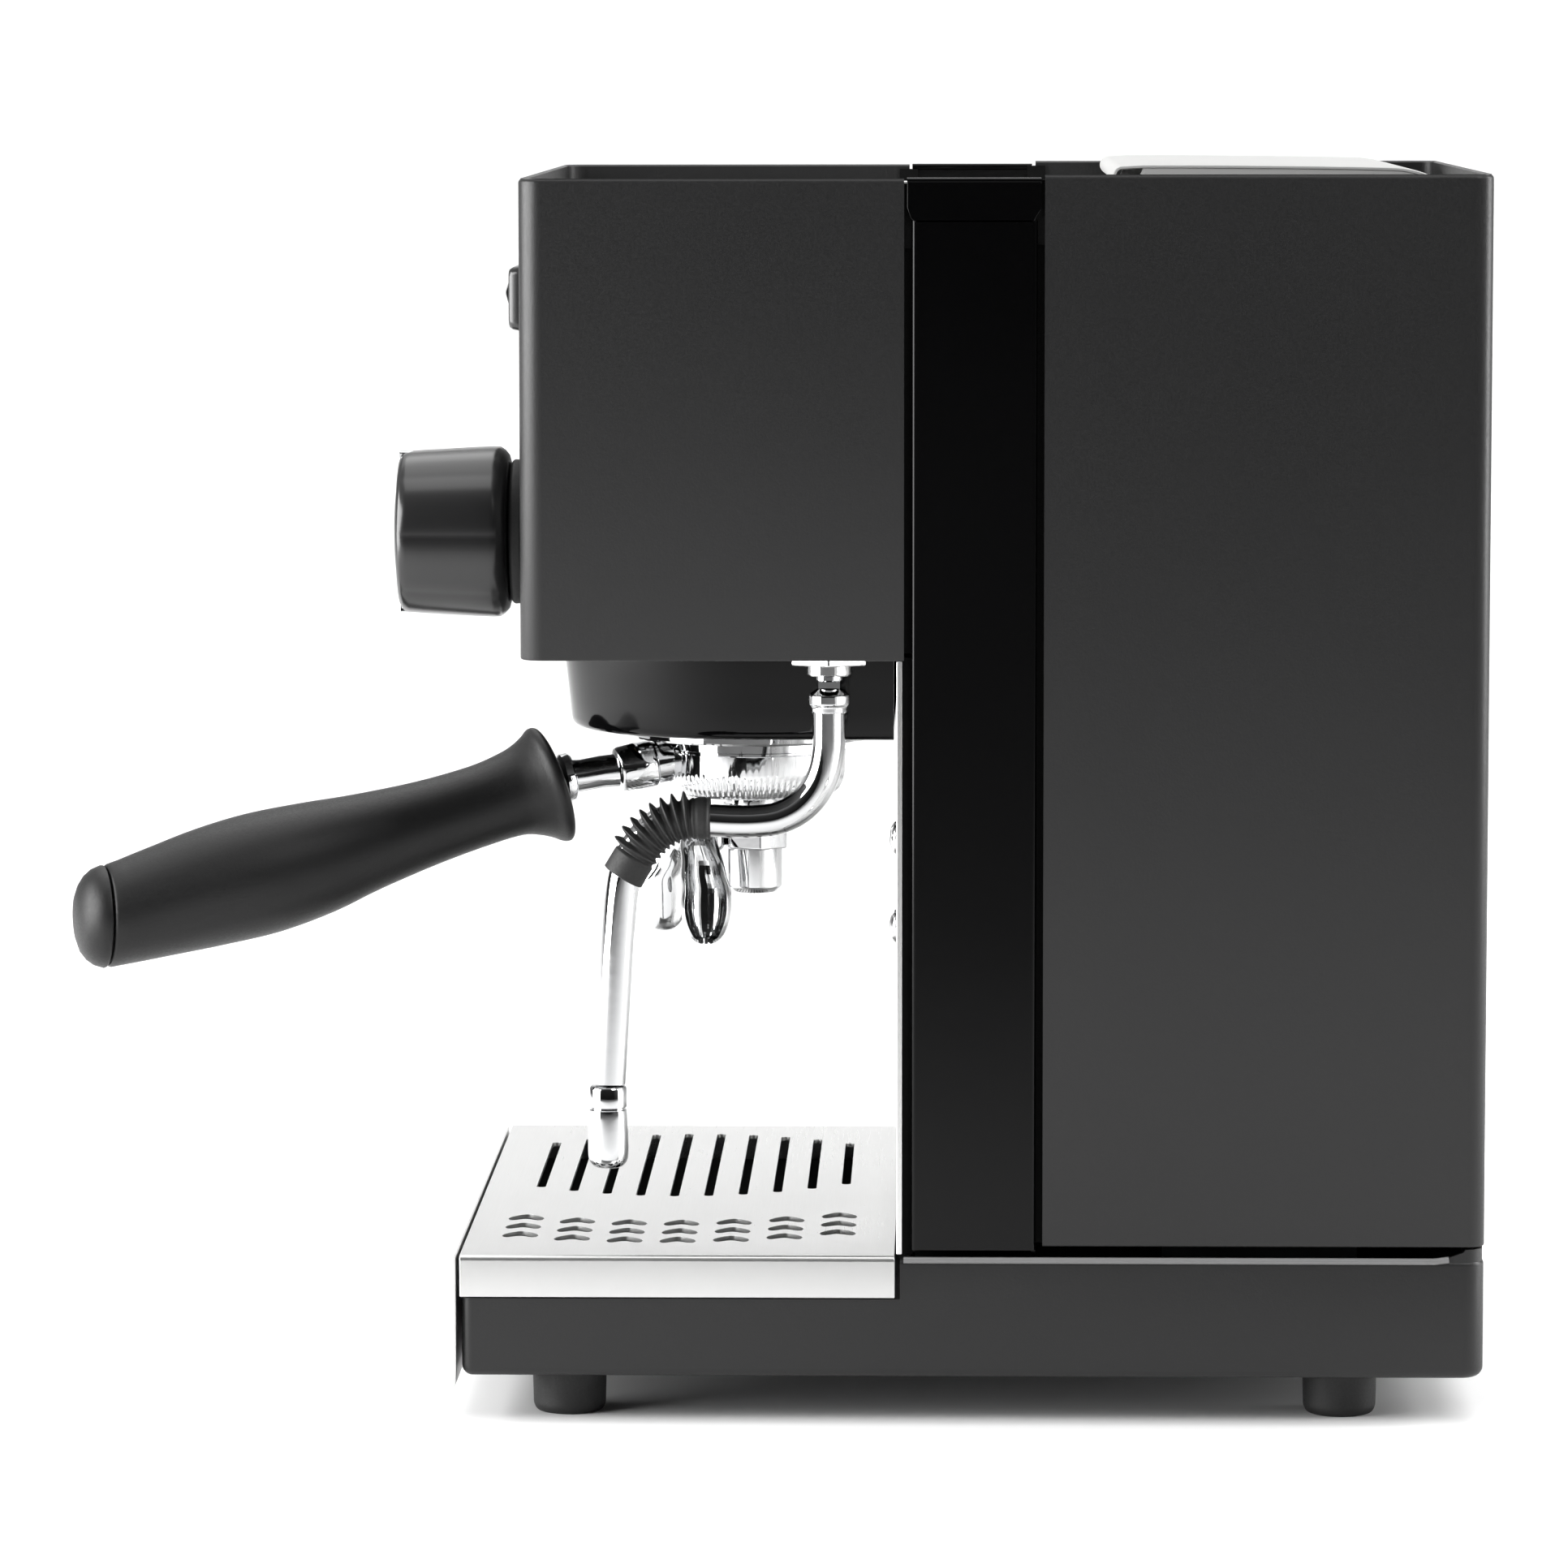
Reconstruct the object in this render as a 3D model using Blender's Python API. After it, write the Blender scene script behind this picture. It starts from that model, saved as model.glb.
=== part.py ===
"""Single boiler espresso machine, built as an assembly of separate parts.

Lengths below are in millimetres; MM turns them into the metres of the scene.
X runs across the machine (the steam wand is at +X), the front faces -Y and
Z is up, with the feet standing on Z = 0.
"""

import math

import bmesh
import bpy
from mathutils import Matrix, Vector

MM = 0.001
GAP = 0.3
SHEET = 1.2

HALF_WIDTH = 117.5
REAR = 198.6
BASE_FRONT = -84.1
BASE_BOTTOM = 13.3
BASE_FLOOR_TOP = 14.8
BASE_TOP = 46.5
BASE_STEP_Y = 37.2
BASE_STEP_TOP = 35.3

HEAD_FRONT = -67.1
HEAD_BACK = 38.3
HEAD_BOTTOM = 212.2
HEAD_TOP = 343.9
HEAD_CORNER = 6.5
FLOOR_Z = 212.5
FLOOR_THICK = 1.5

BAND_FRONT = 40.2
BAND_BACK = 74.7
BAND_BOTTOM = 49.4
BAND_TOP = 344.0
BAND_RETURN_X = 104.0
BAND_RETURN_TOP = 326.0

REAR_FRONT = 76.6
REAR_BOTTOM = 50.2
REAR_TOP = 344.9
REAR_CORNER = 5.2

DECK_Z = 328.5
TANK_HALF = 84.0
TANK_FRONT = 101.0
TANK_BACK = 188.0
TANK_BOTTOM = 144.4
TANK_TOP = 330.5
TANK_WALL = 2.2
SHELF_Z = 138.0

GROUP_Y = -5.9
COVER_BOTTOM = 184.0
COVER_RADIUS = 56.0
PORTAFILTER_SWING = math.radians(17.4)
EAR_STARTS = (-20.0, 160.0)
EAR_SPAN = 40.0
UNLOCK_TURN = 62.0

WAND_X = 80.0
WAND_Y = 17.2
WAND_RADIUS = 4.6
WAND_PIVOT_Z = 199.0

KNOB_X = 77.0
KNOB_Z = 245.0
KNOB_BACK = -71.5
KNOB_FRONT = -102.6

SWITCH_Z = 310.5
SWITCH_PITCH = 34.0
SWITCH_FIRST_X = -18.0
SWITCH_HALF_W = 11.5
SWITCH_HALF_H = 9.0
LAMP_X = -52.0

GRATE_FRONT = -84.5
GRATE_BACK = 35.9
GRATE_HALF = 118.1
GRATE_TOP = 47.4
GRATE_SKIRT = 35.7
GRATE_THICK = 1.2
PLATE_FRONT = -86.3
PLATE_BACK = -84.8
TRAY_HALF = 111.5
TRAY_TOP = 38.0

FOOT_X = 95.0
FOOT_YS = {"front": -55.3, "rear": 159.9}


def clear_scene():
    for item in list(bpy.data.objects):
        bpy.data.objects.remove(item, do_unlink=True)


def look(name, colour, roughness, metallic=0.0):
    """A Principled material of one colour."""
    made = bpy.data.materials.new(name)
    made.use_nodes = True
    shader = made.node_tree.nodes["Principled BSDF"]
    shader.inputs["Base Color"].default_value = (*colour, 1.0)
    shader.inputs["Roughness"].default_value = roughness
    shader.inputs["Metallic"].default_value = metallic
    made.diffuse_color = (*colour, 1.0)
    return made


def make_looks():
    return {
        "black_sheet": look("black_sheet", (0.03, 0.03, 0.03), 0.5),
        "gloss_black": look("gloss_black", (0.008, 0.008, 0.008), 0.15),
        "soft_plastic": look("soft_plastic", (0.02, 0.02, 0.021), 0.45),
        "rubber": look("rubber", (0.025, 0.025, 0.025), 0.8),
        "stainless": look("stainless", (0.75, 0.75, 0.74), 0.3, 1.0),
        "chrome": look("chrome", (0.85, 0.85, 0.86), 0.06, 1.0),
        "brass": look("brass", (0.72, 0.5, 0.2), 0.3, 1.0),
        "copper": look("copper", (0.7, 0.36, 0.22), 0.3, 1.0),
        "tank_plastic": look("tank_plastic", (0.6, 0.62, 0.64), 0.2),
        "lamp_lens": look("lamp_lens", (0.6, 0.25, 0.02), 0.15),
        "zinc": look("zinc", (0.55, 0.56, 0.58), 0.4, 1.0),
    }


def add_object(name, bm, skin, pivot=(0, 0, 0), rig=None, smooth=True):
    """Turns a bmesh in millimetres into an object whose origin is at pivot."""
    bmesh.ops.remove_doubles(bm, verts=bm.verts, dist=0.0005)
    bmesh.ops.recalc_face_normals(bm, faces=bm.faces)
    centre = Vector(pivot)
    for vert in bm.verts:
        vert.co = (vert.co - centre) * MM
    mesh = bpy.data.meshes.new(name)
    bm.to_mesh(mesh)
    bm.free()
    mesh.materials.append(skin)
    if smooth:
        mesh.shade_smooth()
        mesh.set_sharp_from_angle(angle=math.radians(35))
    thing = bpy.data.objects.new(name, mesh)
    bpy.context.collection.objects.link(thing)
    thing.location = centre * MM
    if rig is not None:
        thing.parent = rig
        thing.location = centre * MM - rig.location
    return thing


def add_rig(name, place):
    """An empty on a joint's axis, carrying the pieces that move together."""
    rig = bpy.data.objects.new(name, None)
    bpy.context.collection.objects.link(rig)
    rig.location = Vector(place) * MM
    return rig


def box(bm, low, high):
    size = [b - a for a, b in zip(low, high)]
    middle = [(a + b) / 2 for a, b in zip(low, high)]
    shape = Matrix.Translation(middle) @ Matrix.Diagonal((*size, 1.0))
    bmesh.ops.create_cube(bm, size=1.0, matrix=shape)


def slab(low, high):
    bm = bmesh.new()
    box(bm, low, high)
    return bm


def prism(points, along):
    """Extrudes a flat outline by the vector along."""
    bm = bmesh.new()
    face = bm.faces.new([bm.verts.new(p) for p in points])
    raised = bmesh.ops.extrude_face_region(bm, geom=[face])
    moved = [g for g in raised["geom"] if isinstance(g, bmesh.types.BMVert)]
    bmesh.ops.translate(bm, vec=Vector(along), verts=moved)
    return bm


def turned(profile, centre, axis="Z", steps=24):
    """Turns an outline of (radius, height) pairs about an axis through centre."""
    bm = bmesh.new()
    place = Vector(centre)
    turn = {"Z": Matrix.Identity(3), "-Y": Matrix.Rotation(math.pi / 2, 3, "X"),
            "X": Matrix.Rotation(math.pi / 2, 3, "Y")}[axis]
    verts = [bm.verts.new(Vector((r, 0, h))) for r, h in profile]
    ends = verts if profile[0][0] == 0 and profile[-1][0] == 0 else verts + verts[:1]
    edges = [bm.edges.new(pair) for pair in zip(ends, ends[1:])]
    bmesh.ops.spin(bm, geom=verts + edges, cent=(0, 0, 0), axis=(0, 0, 1),
                   angle=2 * math.pi, steps=steps, use_merge=True)
    bmesh.ops.remove_doubles(bm, verts=bm.verts, dist=0.001)
    for vert in bm.verts:
        vert.co = place + turn @ vert.co
    return bm


def ring_points(centre, across, upward, radius, count):
    return [centre + across * radius * math.cos(2 * math.pi * i / count)
            + upward * radius * math.sin(2 * math.pi * i / count)
            for i in range(count)]


def loft(rings, closed=False):
    """Skins equal rings of points, and caps the two ends with one face each."""
    bm = bmesh.new()
    loops = [[bm.verts.new(p) for p in ring] for ring in rings]
    pairs = list(zip(loops, loops[1:]))
    if closed:
        pairs.append((loops[-1], loops[0]))
    for first, second in pairs:
        for i in range(len(first)):
            j = (i + 1) % len(first)
            bm.faces.new((first[i], first[j], second[j], second[i]))
    if not closed:
        bm.faces.new(loops[0])
        bm.faces.new(list(reversed(loops[-1])))
    return bm


def frames_along(path):
    """Tangents and two steady cross directions at each point of a path."""
    points = [Vector(p) for p in path]
    last = len(points) - 1
    tangents = [(points[min(i + 1, last)] - points[max(i - 1, 0)]).normalized()
                for i in range(len(points))]
    across = tangents[0].orthogonal().normalized()
    frames = []
    for point, tangent in zip(points, tangents):
        across = (across - tangent * across.dot(tangent)).normalized()
        frames.append((point, across, tangent.cross(across)))
    return frames


def pipe(path, radius, sides=12, radii=None):
    sizes = radii or [radius] * len(path)
    return loft([ring_points(p, a, u, r, sides)
                 for (p, a, u), r in zip(frames_along(path), sizes)])


def hollow_pipe(path, outer, inner, sides=12):
    """A tube open at both ends: out along the outside, back along the bore."""
    frames = frames_along(path)
    outside = [ring_points(p, a, u, outer, sides) for p, a, u in frames]
    bore = [ring_points(p, a, u, inner, sides) for p, a, u in frames]
    return loft(outside + bore[::-1], closed=True)


def corner_arc(cx, cy, radius, start, stop, steps):
    return [(cx + radius * math.cos(math.radians(start + (stop - start) * i / steps)),
             cy + radius * math.sin(math.radians(start + (stop - start) * i / steps)))
            for i in range(steps + 1)]


def rounded_outline(x0, x1, y0, y1, front_r, rear_r, steps=4):
    """A rectangle with rounded corners, counter-clockwise from the rear right."""
    points = corner_arc(x1 - rear_r, y1 - rear_r, rear_r, 0, 90, steps)
    points += corner_arc(x0 + rear_r, y1 - rear_r, rear_r, 90, 180, steps)
    points += corner_arc(x0 + front_r, y0 + front_r, front_r, 180, 270, steps)
    points += corner_arc(x1 - front_r, y0 + front_r, front_r, 270, 360, steps)
    return points


def upright(outline, low, high):
    return prism([(x, y, low) for x, y in outline], (0, 0, high - low))


def cutter(name, bm):
    thing = add_object(name, bm, bpy.data.materials["black_sheet"], smooth=False)
    thing.hide_render = True
    thing.display_type = "WIRE"
    return thing


def carve(thing, bm, mode="DIFFERENCE"):
    """Cuts a shape from a piece, or joins it on."""
    tool = cutter(thing.name + "_tool", bm)
    step = thing.modifiers.new("cut", "BOOLEAN")
    step.operation = mode
    step.solver = "EXACT"
    step.object = tool


def soften(thing, width, segments=1, angle=40):
    step = thing.modifiers.new("edges", "BEVEL")
    step.width = width * MM
    step.segments = segments
    step.limit_method = "ANGLE"
    step.angle_limit = math.radians(angle)


def open_shell(name, outline, inner, low, high, floor, skin, rig=None, pivot=(0, 0, 0)):
    """A tray: an upright block with a pocket that leaves a floor and walls."""
    thing = add_object(name, upright(outline, low, high), skin, pivot, rig)
    carve(thing, upright(inner, floor, high + 5.0))
    return thing


def make_base(looks):
    outline = rounded_outline(-HALF_WIDTH, HALF_WIDTH, BASE_FRONT, REAR, 2.0, 6.0)
    wall = 1.5
    inner = rounded_outline(-HALF_WIDTH + wall, HALF_WIDTH - wall,
                            BASE_FRONT + wall, REAR - wall, 1.0, 4.5)
    pan = add_object("base_pan", upright(outline, BASE_BOTTOM, BASE_TOP),
                     looks["black_sheet"])
    ledge = 3.5
    carve(pan, upright(inner, BASE_FLOOR_TOP, BASE_TOP - wall))
    mouth = rounded_outline(-HALF_WIDTH + wall + ledge, HALF_WIDTH - wall - ledge,
                            BASE_FRONT + wall + ledge, REAR - wall - ledge, 1.0, 2.0)
    carve(pan, upright(mouth, BASE_TOP - 2 * wall, BASE_TOP + 5.0))
    carve(pan, slab((-130, -95, BASE_STEP_TOP), (130, BASE_STEP_Y, BASE_TOP + 6.0)))
    carve(pan, slab((-HALF_WIDTH + 3.0, -95, BASE_FLOOR_TOP - 0.5), (HALF_WIDTH - 3.0, -78, 60)))


def make_feet(looks):
    for row, foot_y in FOOT_YS.items():
        for side, foot_x in (("left", -FOOT_X), ("right", FOOT_X)):
            profile = [(0, 0), (8.8, 0), (10.0, 1.4), (10.4, BASE_BOTTOM - GAP),
                       (0, BASE_BOTTOM - GAP)]
            add_object("foot_" + row + "_" + side,
                       turned(profile, (foot_x, foot_y, 0), steps=20), looks["rubber"])


def channel_outline(sign):
    """A C of sheet, open towards the middle of the machine."""
    outer = HALF_WIDTH
    fold = 1.3
    points = [(BAND_RETURN_X, BAND_FRONT)]
    points += corner_arc(outer - fold, BAND_FRONT + fold, fold, 270, 360, 3)
    points += corner_arc(outer - fold, BAND_BACK - fold, fold, 0, 90, 3)
    points += [(BAND_RETURN_X, BAND_BACK), (BAND_RETURN_X, BAND_BACK - SHEET)]
    points += [(outer - SHEET, BAND_BACK - SHEET), (outer - SHEET, BAND_FRONT + SHEET)]
    points += [(BAND_RETURN_X, BAND_FRONT + SHEET)]
    return [(sign * x, y) for x, y in points]


def make_columns(looks):
    """Frame uprights: a folded channel whose two returns stand in the base."""
    for side, sign in (("left", -1), ("right", 1)):
        column = add_object("frame_column_" + side,
                            upright(channel_outline(sign), BASE_FLOOR_TOP + GAP, BAND_TOP),
                            looks["gloss_black"])
        edge = sorted((sign * 111.5, sign * 125.0))
        carve(column, slab((edge[0], 30, 0), (edge[1], 85, BAND_BOTTOM)))
        top = sorted((sign * 95.0, sign * (HALF_WIDTH - SHEET)))
        carve(column, slab((top[0], 30, BAND_RETURN_TOP), (top[1], 85, 360)))


def make_head_floor(looks):
    inside = HALF_WIDTH - SHEET - 0.5
    front = HEAD_FRONT + SHEET + 0.5
    outline = rounded_outline(-inside, inside, front, HEAD_BACK - 0.5, 5.0, 1.0)
    wall = 1.5
    inner = rounded_outline(-inside + wall, inside - wall, front + wall,
                            HEAD_BACK - 0.5 - wall, 3.5, 0.5)
    tray = open_shell("head_floor", outline, inner, FLOOR_Z, HEAD_BOTTOM + 8.0,
                      FLOOR_Z + FLOOR_THICK, looks["black_sheet"])
    carve(tray, turned([(0, 200), (37.0, 200), (37.0, 230), (0, 230)],
                       (0, GROUP_Y, 0), steps=32))
    carve(tray, turned([(0, 200), (5.2, 200), (5.2, 230), (0, 230)],
                       (WAND_X, WAND_Y, 0), steps=16))


def shell_outline(front, back, radius, closed_end):
    """A U of sheet seen from above, closed at the front or at the back."""
    half = HALF_WIDTH
    outer_r = radius
    inner_r = radius - SHEET
    face = front if closed_end == "front" else back
    tips = back if closed_end == "front" else front
    way = 1 if closed_end == "front" else -1
    outer = [(-half, tips)]
    inner = [(half - SHEET, tips)]
    for step in range(5):
        turn = math.radians(90 * step / 4)
        outer.append((-half + outer_r - outer_r * math.cos(turn),
                      face + way * (outer_r - outer_r * math.sin(turn))))
        inner.append((half - outer_r + inner_r * math.cos(turn),
                      face + way * (outer_r - inner_r * math.sin(turn))))
    outer += [(-x, y) for x, y in reversed(outer)]
    inner += [(-x, y) for x, y in reversed(inner)]
    return outer + inner


def switch_centres():
    return [SWITCH_FIRST_X + SWITCH_PITCH * i for i in range(4)]


def make_front_panel(looks):
    panel = add_object("front_panel",
                       upright(shell_outline(HEAD_FRONT, HEAD_BACK, HEAD_CORNER, "front"),
                               HEAD_BOTTOM, HEAD_TOP), looks["black_sheet"])
    for x in switch_centres():
        carve(panel, slab((x - SWITCH_HALF_W + 1.5, HEAD_FRONT - 5, SWITCH_Z - SWITCH_HALF_H + 1.5),
                          (x + SWITCH_HALF_W - 1.5, HEAD_FRONT + 5, SWITCH_Z + SWITCH_HALF_H - 1.5)))
    carve(panel, turned([(0, -5), (4.4, -5), (4.4, 5), (0, 5)],
                        (LAMP_X, HEAD_FRONT, SWITCH_Z), axis="-Y", steps=16))
    carve(panel, turned([(0, -5), (7.0, -5), (7.0, 5), (0, 5)],
                        (KNOB_X, HEAD_FRONT, KNOB_Z), axis="-Y", steps=20))


def make_rear_panel(looks):
    panel = add_object("rear_panel",
                       upright(shell_outline(REAR_FRONT, REAR, REAR_CORNER, "rear"),
                               REAR_BOTTOM, REAR_TOP), looks["black_sheet"])
    carve(panel, slab((-95.5, REAR - 5, 60.5), (-66.5, REAR + 5, 83.5)))
    for i in range(5):
        level = 240.0 + 12.0 * i
        carve(panel, slab((-40, REAR - 5, level), (40, REAR + 5, level + 5.0)))


def make_splash(looks):
    front, back = 36.3, 37.9
    panel = add_object("splash_panel",
                       slab((-HALF_WIDTH, front, BASE_TOP + 1.3), (HALF_WIDTH, back, FLOOR_Z - GAP)),
                       looks["stainless"])
    for x in (-107.0, 107.0):
        carve(panel, turned([(0, -4), (2.6, -4), (2.6, 6), (0, 6)],
                            (x, front, 138.0), axis="-Y", steps=12))
    for side, x in (("left", -107.0), ("right", 107.0)):
        dome = [(0, 2.1), (1.8, 1.9), (3.4, 1.3), (4.6, GAP), (2.2, GAP), (2.2, -3.5), (0, -3.5)]
        add_object("splash_screw_" + side,
                   turned(dome, (x, front, 138.0), axis="-Y", steps=16), looks["stainless"])


def make_top_deck(looks):
    side = HALF_WIDTH - SHEET - 0.6
    front = HEAD_FRONT + SHEET + 0.6
    wall = 1.2
    split = TANK_FRONT - 6.0
    outline = rounded_outline(-side, side, front, split, 5.0, 1.0)
    inner = rounded_outline(-side + wall, side - wall, front + wall, split - wall, 4.0, 0.5)
    open_shell("cup_tray", outline, inner, DECK_Z, HEAD_TOP - 5.0, DECK_Z + 1.2,
               looks["stainless"])
    back = REAR - SHEET - 0.6
    outline = rounded_outline(-side, side, split + 0.5, back, 1.0, 3.5)
    inner = rounded_outline(-side + 1.5, side - 1.5, split + 2.0, back - 1.5, 0.5, 2.5)
    surround = open_shell("tank_surround", outline, inner, DECK_Z, HEAD_TOP - 5.0,
                          DECK_Z + 1.5, looks["soft_plastic"])
    carve(surround, slab((-TANK_HALF - 1, TANK_FRONT - 1, 320),
                         (TANK_HALF + 1, TANK_BACK + 1, 340)))


def cover_outline(radius, back):
    points = [(radius * math.cos(math.radians(a)), GROUP_Y - radius * math.sin(math.radians(a)))
              for a in range(0, 181, 12)]
    return points + [(-radius, back), (radius, back)]


def sector(inner, outer, start, span, steps=5):
    """A slice of a ring about the group axis, angles in degrees."""
    turns = [math.radians(start + span * i / steps) for i in range(steps + 1)]
    points = [(inner * math.cos(a), GROUP_Y + inner * math.sin(a)) for a in turns]
    points += [(outer * math.cos(a), GROUP_Y + outer * math.sin(a)) for a in reversed(turns)]
    return points


def make_group(looks):
    """The cup round the group, the group ring with its bayonet ramps and its seals."""
    rings = []
    top = FLOOR_Z - GAP
    for inset, level in ((5.0, COVER_BOTTOM), (2.6, COVER_BOTTOM + 2.5),
                         (2.0, COVER_BOTTOM + 6.0), (0.0, top)):
        rings.append([Vector((x, y, level))
                      for x, y in cover_outline(COVER_RADIUS - inset, 35.0 - inset * 0.2)])
    cover = add_object("group_cover", loft(rings), looks["gloss_black"])
    carve(cover, upright(cover_outline(COVER_RADIUS - 7.5, 32.0), COVER_BOTTOM + 3.0, top + 5))
    carve(cover, turned([(0, 175), (39.0, 175), (39.0, 195), (0, 195)],
                        (0, GROUP_Y, 0), steps=40))
    ring = [(30.2, 180.6), (36.6, 180.6), (36.6, 214.0), (12.0, 214.0), (12.0, 204.0),
            (30.2, 204.0)]
    head = add_object("group_head", turned(ring, (0, GROUP_Y, 0), steps=40), looks["brass"])
    lug = [(29.0, 183.0), (34.4, 183.0), (34.4, 189.6), (29.0, 189.6)]
    carve(head, turned(lug, (0, GROUP_Y, 0), steps=40))
    for start in EAR_STARTS:
        carve(head, upright(sector(28.0, 34.3, start - UNLOCK_TURN - 2.0, EAR_SPAN + 4.0),
                            178.0, 186.0))
    gasket = [(25.6, 197.4), (29.9, 197.4), (29.9, 203.7), (25.6, 203.7)]
    add_object("group_gasket", turned(gasket, (0, GROUP_Y, 0), steps=32), looks["rubber"])
    screen = [(0, 198.6), (25.0, 198.6), (25.0, 199.8), (4.0, 201.0), (0, 201.0)]
    add_object("shower_screen", turned(screen, (0, GROUP_Y, 0), steps=32), looks["stainless"])


def make_boiler(looks):
    shell = [(5.0, 201.4), (11.7, 201.4), (11.7, 214.3), (34.0, 214.3), (38.0, 219.0),
             (38.0, 288.0), (43.0, 288.0), (43.0, 293.0), (34.0, 293.0), (34.0, 220.0),
             (5.0, 218.0)]
    add_object("boiler_shell", turned(shell, (0, GROUP_Y, 0), steps=32), looks["brass"])
    lid = [(0, 293.3), (43.0, 293.3), (43.0, 298.0), (10.0, 301.0), (0, 301.0)]
    add_object("boiler_cover", turned(lid, (0, GROUP_Y, 0), steps=32), looks["brass"])
    coil = []
    for i in range(37):
        turn = math.radians(40 * i)
        coil.append((20 * math.cos(turn), GROUP_Y + 20 * math.sin(turn), 228 + 1.5 * i))
    add_object("heating_element", pipe(coil, 3.0, sides=8), looks["copper"])
    can = [(0, 301.6), (8.0, 301.6), (8.0, 307.0), (5.0, 312.0), (0, 312.0)]
    add_object("brew_thermostat", turned(can, (0, GROUP_Y, 0), steps=16), looks["zinc"])


def make_steam_side(looks):
    """The valve behind the knob, its pipe to the boiler and the nut under the head."""
    valve = add_object("steam_valve",
                       slab((WAND_X - 9, -14.0, KNOB_Z - 10), (WAND_X + 9, WAND_Y + 9, KNOB_Z + 10)),
                       looks["brass"])
    soften(valve, 1.5)
    outlet = turned([(0, 214.4), (7.0, 214.4), (7.0, 240.0), (0, 240.0)],
                    (WAND_X, WAND_Y, 0), steps=16)
    carve(valve, outlet, "UNION")
    neck = turned([(0, -6.0), (6.2, -6.0), (6.2, 50.0), (0, 50.0)],
                  (KNOB_X, -10.0, KNOB_Z), axis="-Y", steps=16)
    carve(valve, neck, "UNION")
    bore = turned([(0, 1.0), (3.6, 1.0), (3.6, 60.0), (0, 60.0)],
                  (KNOB_X, -10.0, KNOB_Z), axis="-Y", steps=16)
    carve(valve, bore)
    seat = turned([(0, 205.0), (4.9, 205.0), (4.9, 222.0), (0, 222.0)],
                  (WAND_X, WAND_Y, 0), steps=16)
    carve(valve, seat)
    hexagon = [(12.0 * math.cos(math.radians(60 * i)), 12.0 * math.sin(math.radians(60 * i)))
               for i in range(6)]
    nut = add_object("wand_nut",
                     upright([(WAND_X + x, WAND_Y + y) for x, y in hexagon], 205.0, FLOOR_Z - GAP),
                     looks["stainless"])
    carve(nut, turned([(0, 200), (4.9, 200), (4.9, 220), (0, 220)], (WAND_X, WAND_Y, 0), steps=16))
    steam_run = [(38.6, GROUP_Y, 282), (46, GROUP_Y, 282), (56, GROUP_Y + 1, 281),
                 (66, GROUP_Y + 4, 278), (74, GROUP_Y + 9, 272), (78, GROUP_Y + 13, 264),
                 (79, GROUP_Y + 14, KNOB_Z + 11.2)]
    add_object("steam_pipe", pipe(steam_run, 3.0, sides=10), looks["copper"])


def make_solenoid(looks):
    x, y = -62.0, -8.0
    solenoid = add_object("solenoid_valve", slab((x - 15, y - 15, 228), (x + 15, y + 15, 262)),
                          looks["soft_plastic"])
    soften(solenoid, 2.0)
    body = turned([(0, 216), (11, 216), (11, 228.5), (6, 228.5), (6, 236), (0, 236)],
                  (x, y, 0), steps=16)
    carve(solenoid, body, "UNION")
    feed = [(-21.0, 134.0, 110.0), (-30.0, 127.0, 112.0), (-40.0, 108.0, 122.0),
            (-50.0, 88.0, 140.0), (-55.0, 60.0, 180.0), (-58.0, 50.0, 230.0),
            (-58.0, 44.0, 258.0), (-56.0, 30.0, 270.0), (-53.0, 12.0, 276.0),
            (-48.0, GROUP_Y + 4.0, 278.0), (-41.2, GROUP_Y, 278.0)]
    add_object("boiler_feed_pipe", pipe(feed, 2.5, sides=10), looks["copper"])


def make_pump_bay(looks):
    """The pump on its bracket, the shelf above it and the tank's docking seat."""
    y = 140.0
    bracket = add_object("pump_bracket",
                         slab((-30, y - 26, BASE_FLOOR_TOP + GAP), (70, y + 26, 84.0)),
                         looks["zinc"])
    carve(bracket, slab((-27.5, y - 30, BASE_FLOOR_TOP + 2.0), (67.5, y + 30, 90.0)))
    carve(bracket, slab((60, y - 7, 42), (75, y + 7, 95)))
    pump = [(0, -42), (8.0, -42), (8.0, -26), (20.0, -26), (20.0, 24), (12.0, 24), (12.0, 44),
            (0, 44)]
    add_object("vibration_pump", turned(pump, (20.0, y, 52.0), axis="X", steps=24),
               looks["soft_plastic"])
    shelf = add_object("tank_shelf",
                       slab((-108, BAND_BACK + 3.0, SHELF_Z), (108, REAR - SHEET - 1.0, SHELF_Z + 1.5)),
                       looks["zinc"])
    centre = (0, (TANK_FRONT + TANK_BACK) / 2, 0)
    carve(shelf, slab((-64, BAND_BACK, 130), (-36, 99, 150)))
    carve(shelf, turned([(0, 130), (9.5, 130), (9.5, 145), (0, 145)], centre, steps=20))
    seat = [(2.5, 126.0), (5.0, 126.0), (5.0, 134.0), (9.0, 134.0), (9.0, 139.8), (13.0, 139.8),
            (13.0, 144.0), (2.5, 144.0)]
    add_object("tank_seat", turned(seat, centre, steps=20), looks["rubber"])
    mid_y = centre[1]
    hose = [(0, mid_y, 125.6), (0, mid_y, 116), (2, mid_y - 1, 104), (14, mid_y - 3, 92),
            (34, mid_y - 4, 86), (56, mid_y - 5, 80), (74, y, 68), (79, y, 58), (76, y, 53),
            (70, y, 52.0), (64.6, y, 52.0)]
    add_object("suction_hose", pipe(hose, 3.5, sides=10), looks["rubber"])
    inlet = add_object("power_inlet",
                       slab((-95.0, REAR - 22, 61.0), (-67.0, REAR + 0.9, 83.0)),
                       looks["soft_plastic"])
    soften(inlet, 1.0)
    carve(inlet, slab((-92.0, REAR - 14, 64.0), (-70.0, REAR + 5, 80.0)))
    for x in (-87.0, -81.0, -75.0):
        carve(inlet, slab((x - 1, REAR - 18, 70.0), (x + 1, REAR - 4, 74.0)), "UNION")


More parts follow.
